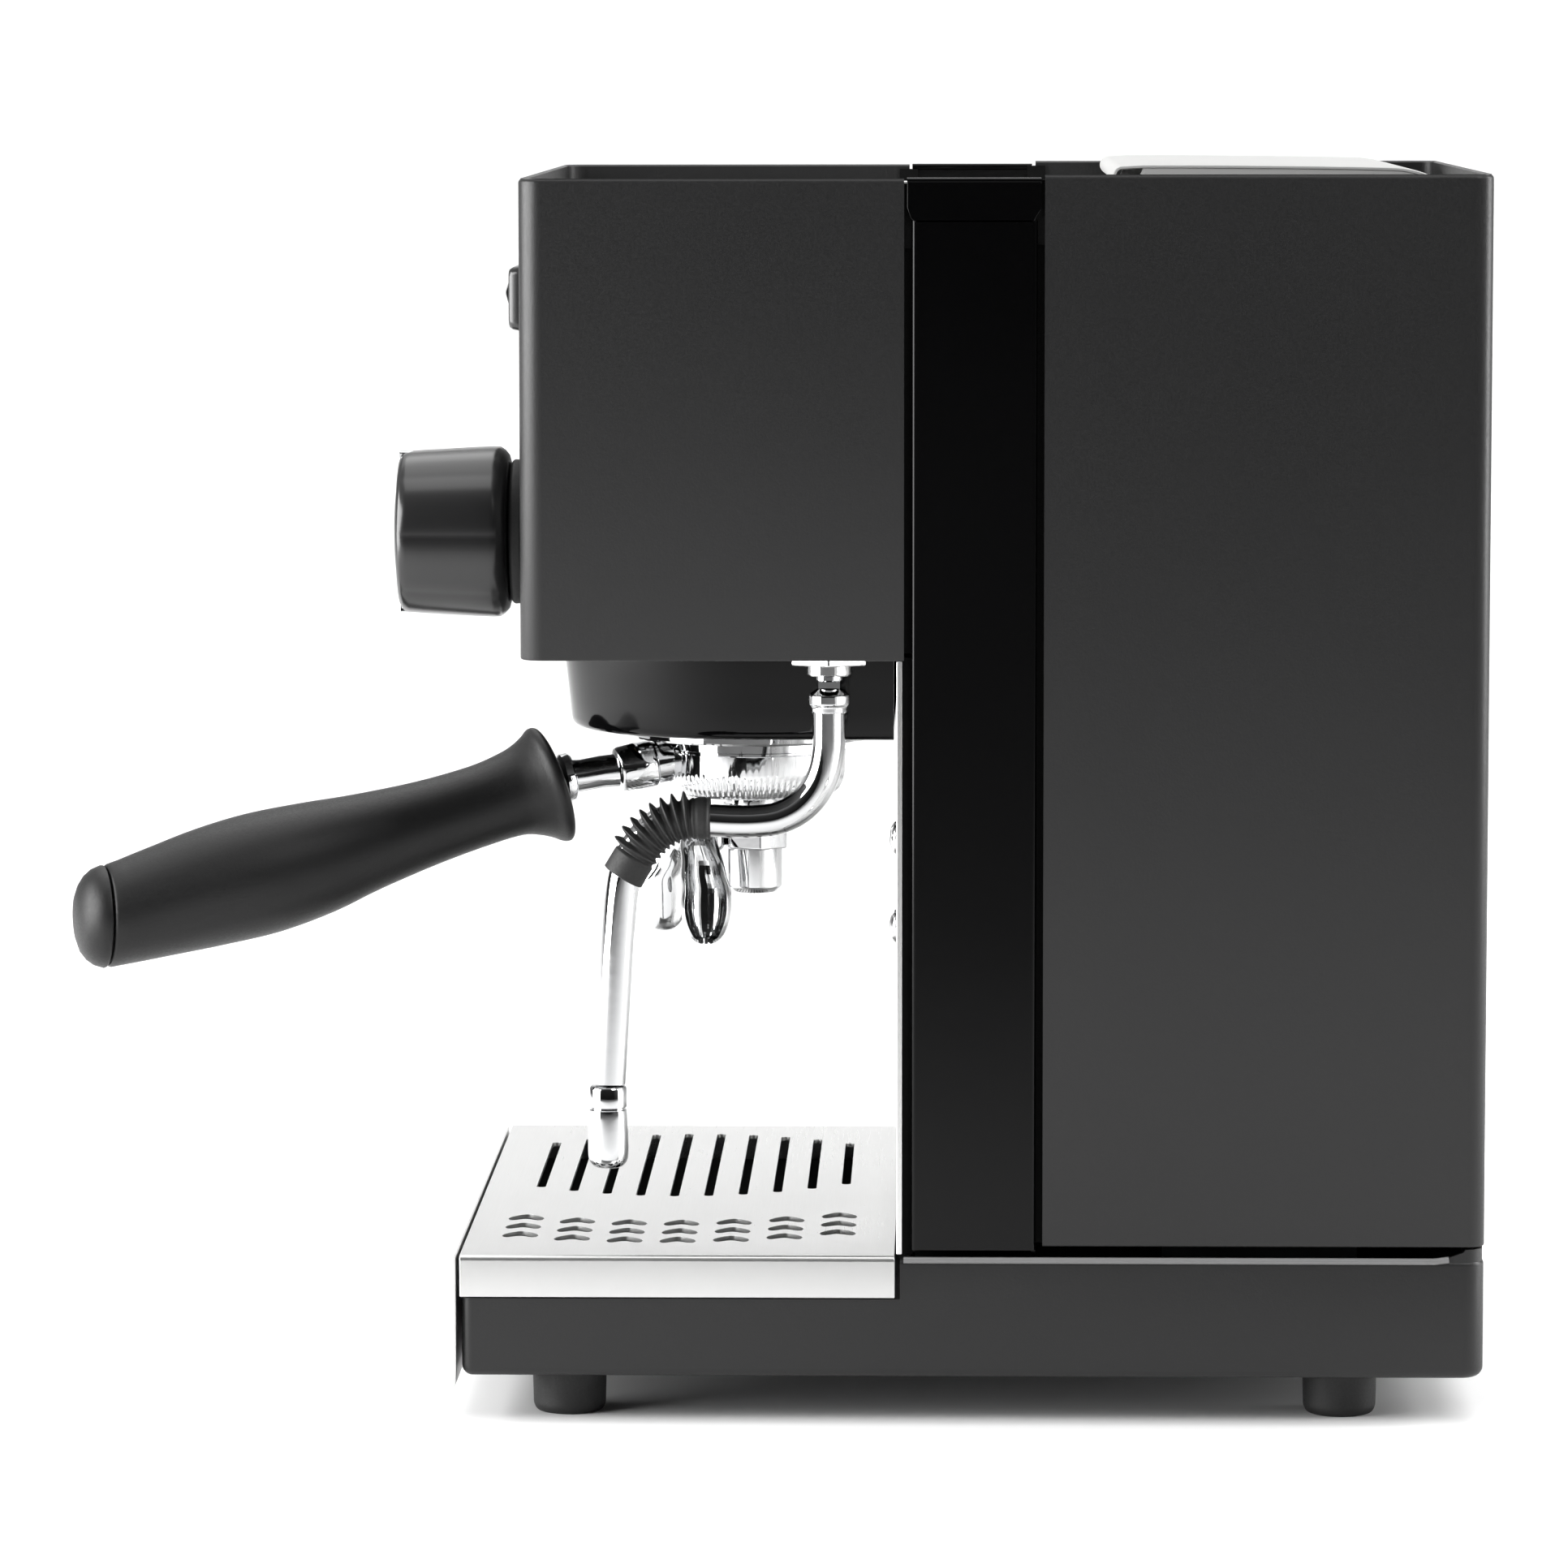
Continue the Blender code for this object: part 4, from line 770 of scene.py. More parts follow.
def make_tank():
    _, x1, _, _, z0, z1 = edges_of("water_tank")
    x, y, _ = middle_of("water_tank")
    wall = 2.2
    profile = [(4.0, z0, 6.0), (1.2, z0 + 1.0, 8.0), (0.2, z0 + 3.6, 8.0), (0.0, z0 + 8.0, 8.0),
               (0.0, z1 - 0.8, 8.0), (0.6, z1, 7.4), (wall - 0.5, z1, 6.2), (wall, z1 - 0.8, 6.0),
               (wall, z0 + 9.0, 6.0), (wall + 1.0, z0 + 4.0, 6.0), (wall + 4.0, z0 + 2.6, 5.0)]
    tank = piece("tank_wall", loft(tub("water_tank", profile)), "tank_plastic", "tank",
                 ["water_tank"], sharp=50)
    cut_by(tank, plug((x, y, 0), 3.0, z0 - 4, z0 + 6, steps=32))
    marks = bmesh.new()
    for k in range(5):
        level = z0 + 30.0 + 28.0 * k
        box(marks, (x1 - wall - 0.5, y - 9.0, level), (x1 - wall + 0.3, y + 9.0, level + 0.8))
    piece("tank_level_marks", marks, "tank_plastic", "tank", sharp=30)


def make_lid():
    """A sheet lid whose front edge curls down into a roll, with a flange along each side."""
    x0, x1, y0, y1, z0, z1 = edges_of("tank_lid")
    sheet, roll = 1.1, 2.6
    curl = [math.radians(a) for a in range(300, 89, -14)]
    outer, inner = ([(y0 + roll + 0.4 + r * math.cos(a), z1 - 0.4 - roll + r * math.sin(a))
                     for a in curl] for r in (roll, roll - sheet))
    top = splined([(y0 + 9.0, z1 - 0.1), (y0 + 35.0, z1 - 0.2), (y1 - 25.0, z1 - 0.7),
                   (y1 - 14.0, z1 - 1.5), (y1 - 6.0, z1 - 4.4), (y1, z1 - 6.8)], 5)
    line = outer + top
    under = inner + [(y, z - sheet) for y, z in top]
    middle = [tuple((a + b) / 2 for a, b in zip(p, q)) for p, q in zip(line, under)]
    rows = []
    for x, thin in ((x0, 0.5), (x0 + 0.3, 0.15), (x0 + 0.8, 0.0),
                    (x1 - 0.8, 0.0), (x1 - 0.3, 0.15), (x1, 0.5)):
        rows.append([Vector((x, y + (my - y) * thin, z + (mz - z) * thin))
                     for (y, z), (my, mz) in zip(line + under[::-1], middle + middle[::-1])])
    piece("tank_lid_sheet", loft(rows), "lid_steel", "lid", ["tank_lid"], sharp=40)
    drop = max(z0 + 0.2, z1 - 9.0)
    edge = [(y0 + 5.0, drop), (y1 - 1.5, drop)]
    edge += [(y, z - 0.5) for y, z in reversed(top) if y < y1 - 1.5 and z - 0.5 > drop]
    flanges = bmesh.new()
    for x in (x0 + 0.3, x1 - 1.2):
        prism([(x, y, z) for y, z in edge], (0.9, 0, 0), flanges)
    piece("tank_lid_flanges", flanges, "lid_steel", "lid", sharp=30)
    base = bmesh.new()
    seat = edges_of("water_tank")[5]
    box(base, (x0 + 8.0, y0 + 8.8, seat + 0.7), (x1 - 8.0, y1 - 7.0, seat + 2.9))
    box(base, (x0 + 8.0, y0 + 12.8, seat + 1.5), (x1 - 8.0, y0 + 15.8, z1 - 1.4))
    box(base, (x0 + 8.0, y1 - 22.0, seat + 1.5), (x1 - 8.0, y1 - 19.0, z1 - 3.4))
    piece("tank_lid_base", base, "soft_plastic", "lid", sharp=30, bevel=0.3)


# ---------------------------------------------------------------- front controls

def make_switches():
    for name in SWITCHES:
        node = name + "_switch_frame"
        x0, x1, y0, _, z0, z1 = edges_of(node)
        face = edges_of("front_panel")[2]
        x, _, z = middle_of(node)
        half_w, half_h = (x1 - x0) / 2, (z1 - z0) / 2
        rings = []
        for inset, depth in ((0.5, face - 0.3), (0.0, face - 0.7), (0.4, y0 + 1.2),
                             (1.0, y0 + 0.25), (1.7, y0), (2.4, y0 + 0.2), (3.0, y0 + 0.9),
                             (3.0, face + 14.0)):
            rings.append([Vector((x + a, depth, z + b)) for a, b in rounded_outline(
                -half_w + inset, half_w - inset, -half_h + inset, half_h - inset, 2.2, 2.2, 8)])
        inner = rings[-1]
        rings.append([Vector((x + (p.x - x) * 1.12, p.y, z + (p.z - z) * 1.12)) for p in inner])
        rings.append([Vector((x + (p.x - x) * 1.12, face - 0.3, z + (p.z - z) * 1.12))
                      for p in inner])
        piece(name + "_switch_bezel", loft(rings, closed=True), "gloss_plastic_soft", "chassis",
              [node], sharp=40)
        node = name + "_rocker"
        rx0, rx1, crest, _, rz0, rz1 = edges_of(node)
        section = splined([(crest + 2.5, rz0 + 0.15), (crest + 1.4, rz0 + 2.2),
                           (crest + 0.3, z + 0.2), (crest, z + 1.6),
                           (crest + 0.35, z + 3.0), (crest + 1.15, rz1 - 0.15)], 5)
        section += [(crest + 1.6, rz1), (face + 0.3, rz1), (face + 3.9, z + 3.1),
                    (face + 8.8, z + 1.7), (face + 8.8, z - 1.7), (face + 3.9, z - 3.1),
                    (face + 0.3, rz0), (crest + 3.0, rz0)]
        piece(node + "_key", prism([(rx0, a, b) for a, b in section], (rx1 - rx0, 0, 0)),
              "gloss_plastic_soft", name + "_rocker", [node], sharp=32, bevel=0.35)
        mark = turned([(0, 0), (1.5, 0), (1.5, 0.2), (1.1, 0.2), (1.1, 0.35), (0, 0.35)],
                      (x, crest + 0.22, z + 1.2), "-Y", 28)
        piece(node + "_dot", mark, "white_print", name + "_rocker")
    x, _, z = middle_of("heating_lamp")
    face = edges_of("front_panel")[2]
    lens = splined([(0, 3.4), (1.6, 3.2), (3.0, 2.5), (3.9, 1.5), (4.2, 1.0)], 4)
    lens += [(4.4, 1.5), (5.0, 1.8), (5.7, 1.5), (6.0, 0.9), (6.0, 0.3), (4.0, 0.3), (4.0, -14.0),
             (0, -14.0)]
    piece("heating_lamp_lens", turned(lens, (x, face, z), "-Y", 56),
          "lamp_lens", "chassis", ["heating_lamp"])


def make_knob():
    y0, y1 = edges_of("steam_knob")[2:4]
    x, _, z = middle_of("steam_knob")
    length = y1 - y0 - 0.8
    place = (x, y1, z)
    count = 180
    rows = []
    sides = [(3.4, 0.0, 0.0), (16.0, 0.0, 0.0), (19.6, 0.1, 0.0), (21.6, 0.6, 0.2), (23.0, 1.7, 0.6),
             (24.0, 3.0, 1.0), (24.1, 5.0, 1.0), (23.9, 10.0, 1.0), (23.5, 17.0, 1.0),
             (23.1, 24.0, 1.0), (22.8, length - 3.0, 1.0), (22.5, length - 1.5, 0.7),
             (21.7, length - 0.6, 0.3), (20.4, length - 0.1, 0.0), (18.2, length + 0.1, 0.0),
             (17.2, length - 0.2, 0.0), (17.0, length - 3.0, 0.0), (3.4, length - 3.0, 0.0)]
    bm = bmesh.new()
    spin = TURNS["-Y"]
    for radius, height, grip in sides:
        row = []
        for i in range(count):
            angle = 2 * math.pi * i / count
            wave = abs(math.sin(4 * angle)) ** 0.8
            r = radius - 0.55 * grip * (1.0 - wave)
            row.append(bm.verts.new(Vector(place) + spin @ Vector(
                (r * math.cos(angle), r * math.sin(angle), height))))
        rows.append(row)
    for first, second in zip(rows, rows[1:] + rows[:1]):
        skin_between(bm, first, second, count)
    piece("steam_knob_body", bm, "gloss_plastic_soft", "knob", ["steam_knob"],
          sharp=50)
    dome = splined([(0, length + 1.45), (5.0, length + 1.35), (11.0, length + 1.0),
                    (14.5, length + 0.5)], 4)
    dome += [(15.6, length), (16.5, length - 0.6), (16.6, length - 2.7), (0, length - 2.7)]
    piece("knob_cap_disc", turned(dome, place, "-Y", 96), "gloss_plastic", "knob", ["knob_cap"],
          sharp=40)
    for name, middle in (("upper", 90.0), ("lower", 270.0)):
        mark = bmesh.new()
        outline = []
        for r0, turns in ((22.7, range(-9, 10, 2)), (20.0, range(9, -10, -2))):
            for t in turns:
                a = math.radians(middle + t)
                outline.append(Vector((r0 * math.cos(a), r0 * math.sin(a), length - 3.6)))
        outline = [Vector(place) + spin @ p for p in outline]
        prism(outline, spin @ Vector((0, 0, 3.9)), mark)
        piece("knob_mark_" + name, mark, "chrome", "knob", sharp=30, bevel=0.5,
              bevel_steps=3)
    panel = edges_of("front_panel")[2]
    neck = rounded([(3.6, -0.2), (19.4, -0.2), (20.2, -1.0), (20.0, y1 - panel + 0.9),
                    (19.0, y1 - panel + 0.4)], 0.4, 3)
    piece("knob_neck", turned(neck + [(3.6, y1 - panel + 0.4)], place, "-Y", 120), "rubber",
          "knob", sharp=45)
    inner_end = y1 - edges_of("valve_stem")[3]
    stem = [(0, length - 3.3), (3.1, length - 3.3), (3.1, 2.0), (3.1, -8.0), (3.6, -9.0),
            (3.6, -14.0), (3.1, -15.0), (3.1, inner_end), (0, inner_end)]
    piece("valve_stem_rod", turned(stem, place, "-Y", 40), "brass", "knob", ["valve_stem"])


# ---------------------------------------------------------------- group and portafilter

def cover_outline(node, inset, steps=48):
    x0, x1, y0, y1 = edges_of(node)[:4]
    radius = (x1 - x0) / 2
    centre = y0 + radius
    points = [((radius - inset) * math.cos(math.radians(180 * k / steps)),
               centre - (radius - inset) * math.sin(math.radians(180 * k / steps)))
              for k in range(steps + 1)]
    return points + [(-radius + inset, y1), (radius - inset, y1)]


def make_group():
    x0, x1, y0, _, z0, z1 = edges_of("group_cover")
    centre = y0 + (x1 - x0) / 2
    rows = []
    for inset, level in ((6.4, z0 + 0.5), (5.0, z0), (4.3, z0 + 0.1), (3.4, z0 + 0.55),
                         (2.8, z0 + 1.4), (2.5, z0 + 2.8), (2.0, z0 + 8.0), (1.1, z0 + 16.0),
                         (0.4, z1 - 6.0), (0.0, z1 - 1.2), (0.3, z1), (7.0, z1),
                         (7.0, z0 + 3.4)):
        rows.append([Vector((x, y, level)) for x, y in cover_outline("group_cover", inset)])
    cover = piece("group_cup", loft(rows), "gloss_plastic", "chassis", ["group_cover"],
                  sharp=50)
    cut_by(cover, turned([(0, z0 - 9), (39.6, z0 - 9), (39.2, z0 + 0.6), (39.0, z0 + 12),
                          (0, z0 + 12)], (0, centre, 0), steps=120))
    hx0, hx1, _, _, hz0, hz1 = edges_of("group_head")
    r = (hx1 - hx0) / 2
    ring = [(30.2, hz0 + 0.4), (30.6, hz0), (r - 0.6, hz0), (r, hz0 + 0.6), (r, hz1 - 0.6),
            (r - 0.6, hz1), (12.0, hz1), (12.0, hz1 - 10.0), (30.2, hz1 - 10.0)]
    head = piece("group_ring", turned(ring, (0, centre, 0), steps=120), "chrome", "chassis",
                 ["group_head"], sharp=40)
    cut_by(head, turned([(29.0, hz0 + 2.4), (34.4, hz0 + 2.4), (34.4, hz0 + 9.0), (29.0, hz0 + 9.0)],
                        (0, centre, 0), steps=120))
    sz0, sz1 = edges_of("shower_screen")[4:]
    plate = turned(rounded([(0, sz0 + 0.3), (22.5, sz0 + 0.3), (24.6, sz0), (25.0, sz0 + 1.2)], 0.6)
                   + [(4.0, sz1), (0, sz1)], (0, centre, 0), steps=96)
    piece("shower_plate", plate, "steel_polished", "chassis", ["shower_screen"],
          sharp=40)
    bolt = splined([(0, sz0 - 1.6), (2.0, sz0 - 1.5), (3.6, sz0 - 0.9), (4.2, sz0 + 0.1)], 4)
    bolt = turned(bolt + [(0, sz0 + 0.4)], (0, centre, 0), steps=40)
    bolt = piece("shower_screw", bolt, "steel_polished", "chassis")
    cut_by(bolt, slab((-0.5, centre - 6, sz0 - 3), (0.5, centre + 6, sz0 - 0.7)))


GROUP_Y = middle_of("group_head")[1]
SWING = math.radians(17.4)
EAR_STARTS = (-20.0, 160.0)
EAR_SPAN = 40.0


def along_handle(distance, height):
    return Vector((distance * math.sin(SWING), GROUP_Y - distance * math.cos(SWING), height))


def handle_ring(distance, height, radius, tilt):
    """A ring across the handle; its plane leans back by tilt degrees."""
    across = Vector((math.cos(SWING), math.sin(SWING), 0))
    lean = math.radians(tilt)
    forward = Vector((math.sin(SWING), -math.cos(SWING), 0))
    upward = Vector((0, 0, math.cos(lean))) - forward * math.sin(lean)
    return ring_points(along_handle(distance, height), across, upward, radius, 56)


def make_portafilter():
    centre = (0, GROUP_Y, 0)
    outer = [(3.6, 163.6, 0), (4.4, 163.2, 0), (11.0, 163.0, 0), (12.0, 163.1, 0)]
    outer += [(20.0, 163.4, 0), (22.6, 163.8, 0), (23.6, 164.3, 0.2), (24.6, 165.2, 1),
              (25.5, 167.0, 1), (26.0, 168.8, 1), (26.3, 170.2, 0.2), (26.4, 171.2, 0), (26.5, 176.4, 0),
              (26.1, 176.7, 0), (26.1, 177.3, 0), (26.5, 177.6, 0), (26.5, 184.2, 0),
              (26.9, 184.8, 0), (29.2, 185.1, 0), (29.8, 185.7, 0), (29.8, 195.9, 0),
              (29.4, 196.4, 0), (25.4, 196.4, 0), (24.9, 195.9, 0), (24.9, 170.0, 0),
              (21.5, 167.0, 0), (3.6, 166.4, 0)]
    count = 360
    bm = bmesh.new()
    rows = []
    for radius, height, rib in outer:
        row = []
        for i in range(count):
            a = 2 * math.pi * i / count
            r = radius - (0.5 * rib if (i // 2) % 2 else 0.0)
            row.append(bm.verts.new((r * math.cos(a), GROUP_Y + r * math.sin(a), height)))
        rows.append(row)
    for first, second in zip(rows, rows[1:] + rows[:1]):
        skin_between(bm, first, second, count)
    piece("portafilter_body", bm, "chrome", "portafilter", ["portafilter_bowl"], sharp=32)
    ears = bmesh.new()
    for start in EAR_STARTS:
        outline = []
        for k in range(13):
            a = math.radians(start + EAR_SPAN * k / 12)
            outline.append((28.9 * math.cos(a), GROUP_Y + 28.9 * math.sin(a)))
        for k in range(13):
            a = math.radians(start + EAR_SPAN * (12 - k) / 12)
            outline.append((33.4 * math.cos(a), GROUP_Y + 33.4 * math.sin(a)))
        prism([(x, y, 185.4) for x, y in outline], (0, 0, 3.5), ears)
    piece("portafilter_ears", ears, "chrome", "portafilter", sharp=32, bevel=0.6,
          bevel_steps=3)
    neck = [(25.3, 173.9, 6.2, -9.4), (30.2, 173.2, 6.2, -9.4), (30.6, 173.1, 6.6, -9.4),
            (31.2, 173.0, 6.9, -9.4), (36.0, 172.2, 6.9, -9.4), (40.4, 171.5, 6.6, -9.4),
            (41.2, 171.4, 6.3, -9.4), (41.6, 171.3, 5.7, -9.4), (41.9, 171.2, 4.9, -9.4),
            (46.0, 171.0, 4.75, -9.4), (52.0, 170.1, 4.7, -9.4)]
    neck += [(54.6, 169.9, 4.9, -9.4), (54.9, 169.85, 6.6, -9.4), (55.6, 169.7, 7.2, -9.4),
             (57.6, 169.3, 7.2, -9.4), (58.2, 169.2, 6.4, -9.4), (58.5, 169.1, 4.7, -9.4)]
    piece("portafilter_neck", loft([handle_ring(*s) for s in neck]), "chrome", "portafilter",
          sharp=40)
    sections = [(59.6, 168.4, 12.6, -17.3), (59.8, 168.3, 14.6, -17.3), (60.3, 168.1, 16.4, -17.3),
                (61.0, 167.9, 17.15, -17.2), (62.0, 167.7, 17.2, -17.1), (63.2, 167.5, 16.7, -16.7),
                (65.0, 167.2, 15.4, -16.0), (68.5, 166.4, 13.6, -15.4), (73.0, 165.3, 12.3, -15.0),
                (82.0, 162.4, 11.7, -15.0), (98.0, 157.8, 12.3, -15.0), (116.1, 152.8, 14.2, -15.0),
                (130.0, 148.9, 16.3, -14.9), (146.0, 145.0, 17.6, -14.5), (161.2, 141.5, 17.1, -13.0),
                (176.0, 137.8, 15.8, -9.0), (187.0, 135.1, 14.95, -2.0)]
    grip = splined(sections, 4)
    grip += [(190.6, 134.3, 14.75, 0.0), (191.2, 134.2, 14.5, 0.0), (191.5, 134.1, 14.0, 0.0)]
    handle = piece("portafilter_grip", loft([handle_ring(*s) for s in grip]), "handle_plastic",
                   "portafilter", ["portafilter_handle"], sharp=40)
    cut_by(handle, loft([handle_ring(55.0, 169.6, 7.6, -9.4), handle_ring(59.9, 168.8, 7.6, -9.4)]))
    cap = [(191.9, 134.1, 14.0, 0.0), (192.2, 134.1, 14.5, 0.0), (192.8, 134.0, 14.65, 0.0),
           (195.4, 133.9, 13.7, 0.0), (197.4, 133.8, 12.1, 0.0), (198.9, 133.7, 10.0, 0.0),
           (200.0, 133.9, 7.0, 0.0), (200.5, 134.2, 4.0, 0.0), (200.6, 134.3, 1.2, 0.0)]
    piece("handle_end", loft([handle_ring(*s) for s in cap]), "handle_plastic", "portafilter",
          ["handle_end_cap"], sharp=45)
    bz0, bz1 = edges_of("filter_basket")[4:]
    basket = [(0, bz0), (21.4, bz0), (23.2, bz0 + 1.2), (24.2, bz0 + 3.4), (24.3, bz1 - 1.0)]
    basket += [(29.2, bz1 - 0.6), (29.4, bz1 - 0.3), (29.2, bz1), (23.8, bz1 - 0.1),
               (23.3, bz1 - 0.7), (23.0, bz0 + 4.0), (22.2, bz0 + 2.0), (20.6, bz0 + 1.0), (0, bz0 + 1.0)]
    piece("filter_basket_cup", turned(basket, centre, steps=96), "steel_polished", "portafilter",
          ["filter_basket"], sharp=45)


def make_spouts():
    """A turned hub with a hexagon and two leaf-shaped troughs, open to the sides."""
    centre = (0, GROUP_Y, 0)
    hub = rounded([(3.6, 134.7), (6.4, 134.7), (8.0, 136.4), (8.0, 147.4), (8.0, 147.8),
                   (8.4, 161.0), (8.4, 162.9), (3.6, 162.9)], 0.5, 3)
    piece("spout_hub", turned(hub, centre, steps=72), "chrome", "portafilter", ["double_spout"],
          sharp=40)
    hexagon = [(10.0 * math.cos(math.radians(60 * k + 12)),
                GROUP_Y + 10.0 * math.sin(math.radians(60 * k + 12))) for k in range(6)]
    nut = piece("spout_hexagon", upright(hexagon, 147.6, 160.8), "chrome", "portafilter",
                sharp=30, bevel=0.7, bevel_steps=3)
    settle(nut)
    cut_by(nut, plug(centre, 8.0, 140, 166, steps=64))
    yoke = bmesh.new()
    box(yoke, (-7.0, GROUP_Y - 24.0, 146.4), (7.0, GROUP_Y - 8.5, 157.0))
    piece("spout_yoke", yoke, "chrome", "portafilter", sharp=32, bevel=3.2,
          bevel_steps=6)
    for name, x, y in (("near", 17.0, GROUP_Y - 13.7), ("far", -17.0, GROUP_Y - 27.1)):
        side = 1 if x > 0 else -1
        start = (y + 2 * (GROUP_Y - 17.0)) / 3
        rows = [(x - 1.2 * side, y, 121.1, 0.6, 0.5), (x - 1.0 * side, y, 121.4, 1.9, 2.3),
                (x - 0.7 * side, y, 122.2, 3.0, 3.7), (x - 0.3 * side, y, 124.0, 4.2, 5.3),
                (x, y, 127.0, 5.1, 6.6), (x, y, 130.0, 5.6, 7.2), (x * 0.98, y, 133.0, 5.8, 7.4),
                (x * 0.95, y, 137.0, 5.8, 7.2), (x * 0.90, (start + 2 * y) / 3, 141.0, 5.6, 6.7),
                (x * 0.81, (start + y) / 2, 145.0, 5.2, 6.1), (x * 0.66, start, 149.5, 4.6, 5.5),
                (x * 0.45, start, 152.6, 4.0, 5.0), (x * 0.26, start, 154.0, 3.4, 4.6)]
        rows = splined(rows, 3)
        leaf = [[Vector((cx + rx * math.cos(a), cy + ry * math.sin(a), z))
                 for a in [2 * math.pi * k / 64 for k in range(64)]] for cx, cy, z, rx, ry in rows]
        spout = piece("spout_" + name, loft(leaf), "chrome", "portafilter", sharp=50)
        scoop = [(x + 1.6 * side, y, 112.0, 2.4, 1.6), (x + 1.2 * side, y, 121.6, 2.6, 1.9),
                 (x + 1.4 * side, y, 123.4, 3.8, 3.6), (x + 1.8 * side, y, 126.6, 5.0, 5.2),
                 (x + 2.2 * side, y, 130.0, 5.8, 6.0), (x * 0.98 + 2.4 * side, y, 133.0, 6.0, 6.2),
                 (x * 0.95 + 2.6 * side, y, 137.0, 6.0, 5.9),
                 (x * 0.90 + 2.8 * side, (start + 2 * y) / 3, 141.0, 5.6, 5.3),
                 (x * 0.81 + 3.2 * side, (start + y) / 2, 145.0, 4.8, 4.4),
                 (x * 0.70 + 4.2 * side, start, 149.5, 3.2, 3.0),
                 (x * 0.62 + 5.6 * side, start, 152.0, 1.6, 1.4)]
        scoop = [[Vector((cx + rx * math.cos(a), cy + ry * math.sin(a), z))
                  for a in [2 * math.pi * (k + 0.5) / 56 for k in range(56)]]
                 for cx, cy, z, rx, ry in splined(scoop, 3)]
        cut_by(spout, loft(scoop))


# ---------------------------------------------------------------- steam wand

WAND_POINTS = ((17.1, 197.4), (17.1, 190.0), (16.9, 184.0), (15.6, 177.5), (12.9, 172.0),
               (8.6, 167.6), (3.0, 164.9), (-3.0, 164.0), (-10.0, 163.9), (-19.0, 164.4),
               (-25.5, 164.6), (-31.0, 162.6), (-35.8, 158.0), (-39.2, 151.5), (-41.0, 143.5),
               (-42.2, 130.0), (-43.4, 110.0), (-44.6, 90.0))


def make_wand():
    x0, x1, y0, y1, z0, z1 = edges_of("wand_swivel")
    x, y, _ = middle_of("wand_swivel")
    path = splined([(x, a, b) for a, b in WAND_POINTS], 5)
    tube = piece("steam_wand_tube", pipe(path, 4.6, 48), "chrome", "wand", ["steam_wand"],
                 sharp=45)
    collar = rounded([(0, 194.6), (5.1, 194.6), (5.2, 196.4), (5.9, 197.0), (5.9, 199.6),
                      (3.6, 201.3)], 0.4, 3)
    collar += [(0, 201.3)]
    cut_by(tube, turned(collar, (x, y, 0), steps=64), "UNION")
    cut_by(tube, slab((x - 1.8, y - 9, 195.4), (x + 1.8, y + 9, 206.0)))
    ball = turned([(0, z0 + 6.0), (3.4, z0 + 6.0), (3.8, z0 + 6.4), (3.8, z1 - 0.3), (3.5, z1),
                   (0, z1)], (x, y, 0), steps=48)
    ball = piece("wand_ball_stem", ball, "chrome", "wand_ball", ["wand_swivel"], sharp=40)
    cut_by(ball, slab((x0 + 2.4, y0 + 0.8, z0), (x1 - 2.4, y1 - 0.8, z0 + 8.0)), "UNION")
    tx, ty, _ = middle_of("steam_tip")
    tip = splined([(0, 65.9), (2.2, 65.95), (4.0, 66.4), (5.2, 67.8), (5.65, 70.0),
                   (5.65, 75.0), (5.5, 80.0), (5.35, 82.4)], 4)
    tip += [(5.0, 82.7), (4.95, 83.1), (5.3, 83.4), (5.35, 84.0), (5.3, 88.4), (5.0, 89.1),
            (4.6, 89.4), (0, 89.4)]
    tip = piece("steam_nozzle", turned(tip, (tx, ty, 0), steps=64), "chrome", "wand",
                ["steam_tip"], sharp=38)
    for turn in (40, 160, 280):
        a = math.radians(turn)
        cut_by(tip, pipe([(tx + 2.0 * math.cos(a), ty + 2.0 * math.sin(a), 70.0),
                          (tx + 6.0 * math.cos(a), ty + 6.0 * math.sin(a), 65.0)], 0.75, 16))
    make_grip(x)


GRIP_POINTS = ((-16.0, 164.8), (-20.0, 164.8), (-24.0, 164.4), (-28.0, 163.0), (-31.6, 160.7),
               (-34.8, 157.5), (-37.6, 153.4), (-40.7, 148.3))


def make_grip(x):
    """A rubber sleeve over the bend, with fins standing on its outer side."""
    core = [Vector(p) for p in splined([(x, a, b) for a, b in GRIP_POINTS], 30)]
    last = len(core) - 1
    count = 40
    rows = []
    inside = []
    for k, point in enumerate(core):
        share = k / last
        tangent = (core[min(k + 1, last)] - core[max(k - 1, 0)]).normalized()
        out = Vector((1, 0, 0)).cross(tangent).normalized()
        out = out if out.z > 0 else -out
        fin = 0.0
        if 0.20 < share < 0.83:
            phase = (share - 0.20) / 0.63 * 8.0
            fin = abs(math.sin(math.pi * phase)) ** 3.0
        if share < 0.20:
            radius = 5.95 - 0.25 * abs(math.sin(math.pi * share / 0.1)) ** 6
            if share > 0.17:
                radius -= 0.6 * (share - 0.17) / 0.03
        elif share > 0.83:
            radius = 5.4 + 0.6 * min(1.0, (share - 0.83) / 0.02)
        else:
            radius = 5.3
        radius -= 0.5 * max(0.0, 1.0 - min(share, 1 - share) / 0.012) ** 2
        row = []
        for i in range(count):
            a = 2 * math.pi * i / count
            radial = Vector((1, 0, 0)) * math.sin(a) + out * math.cos(a)
            reach = 0.9 + 1.7 * max(0.0, math.cos(a)) ** 0.8
            row.append(point + radial * (radius + fin * reach))
        rows.append(row)
        inside.append([point + (Vector((1, 0, 0)) * math.sin(2 * math.pi * i / count)
                                + out * math.cos(2 * math.pi * i / count)) * 4.8
                       for i in range(count)])
    piece("wand_grip_sleeve", loft(rows + inside[::-1], closed=True), "rubber", "wand",
          ["wand_grip"], sharp=50)


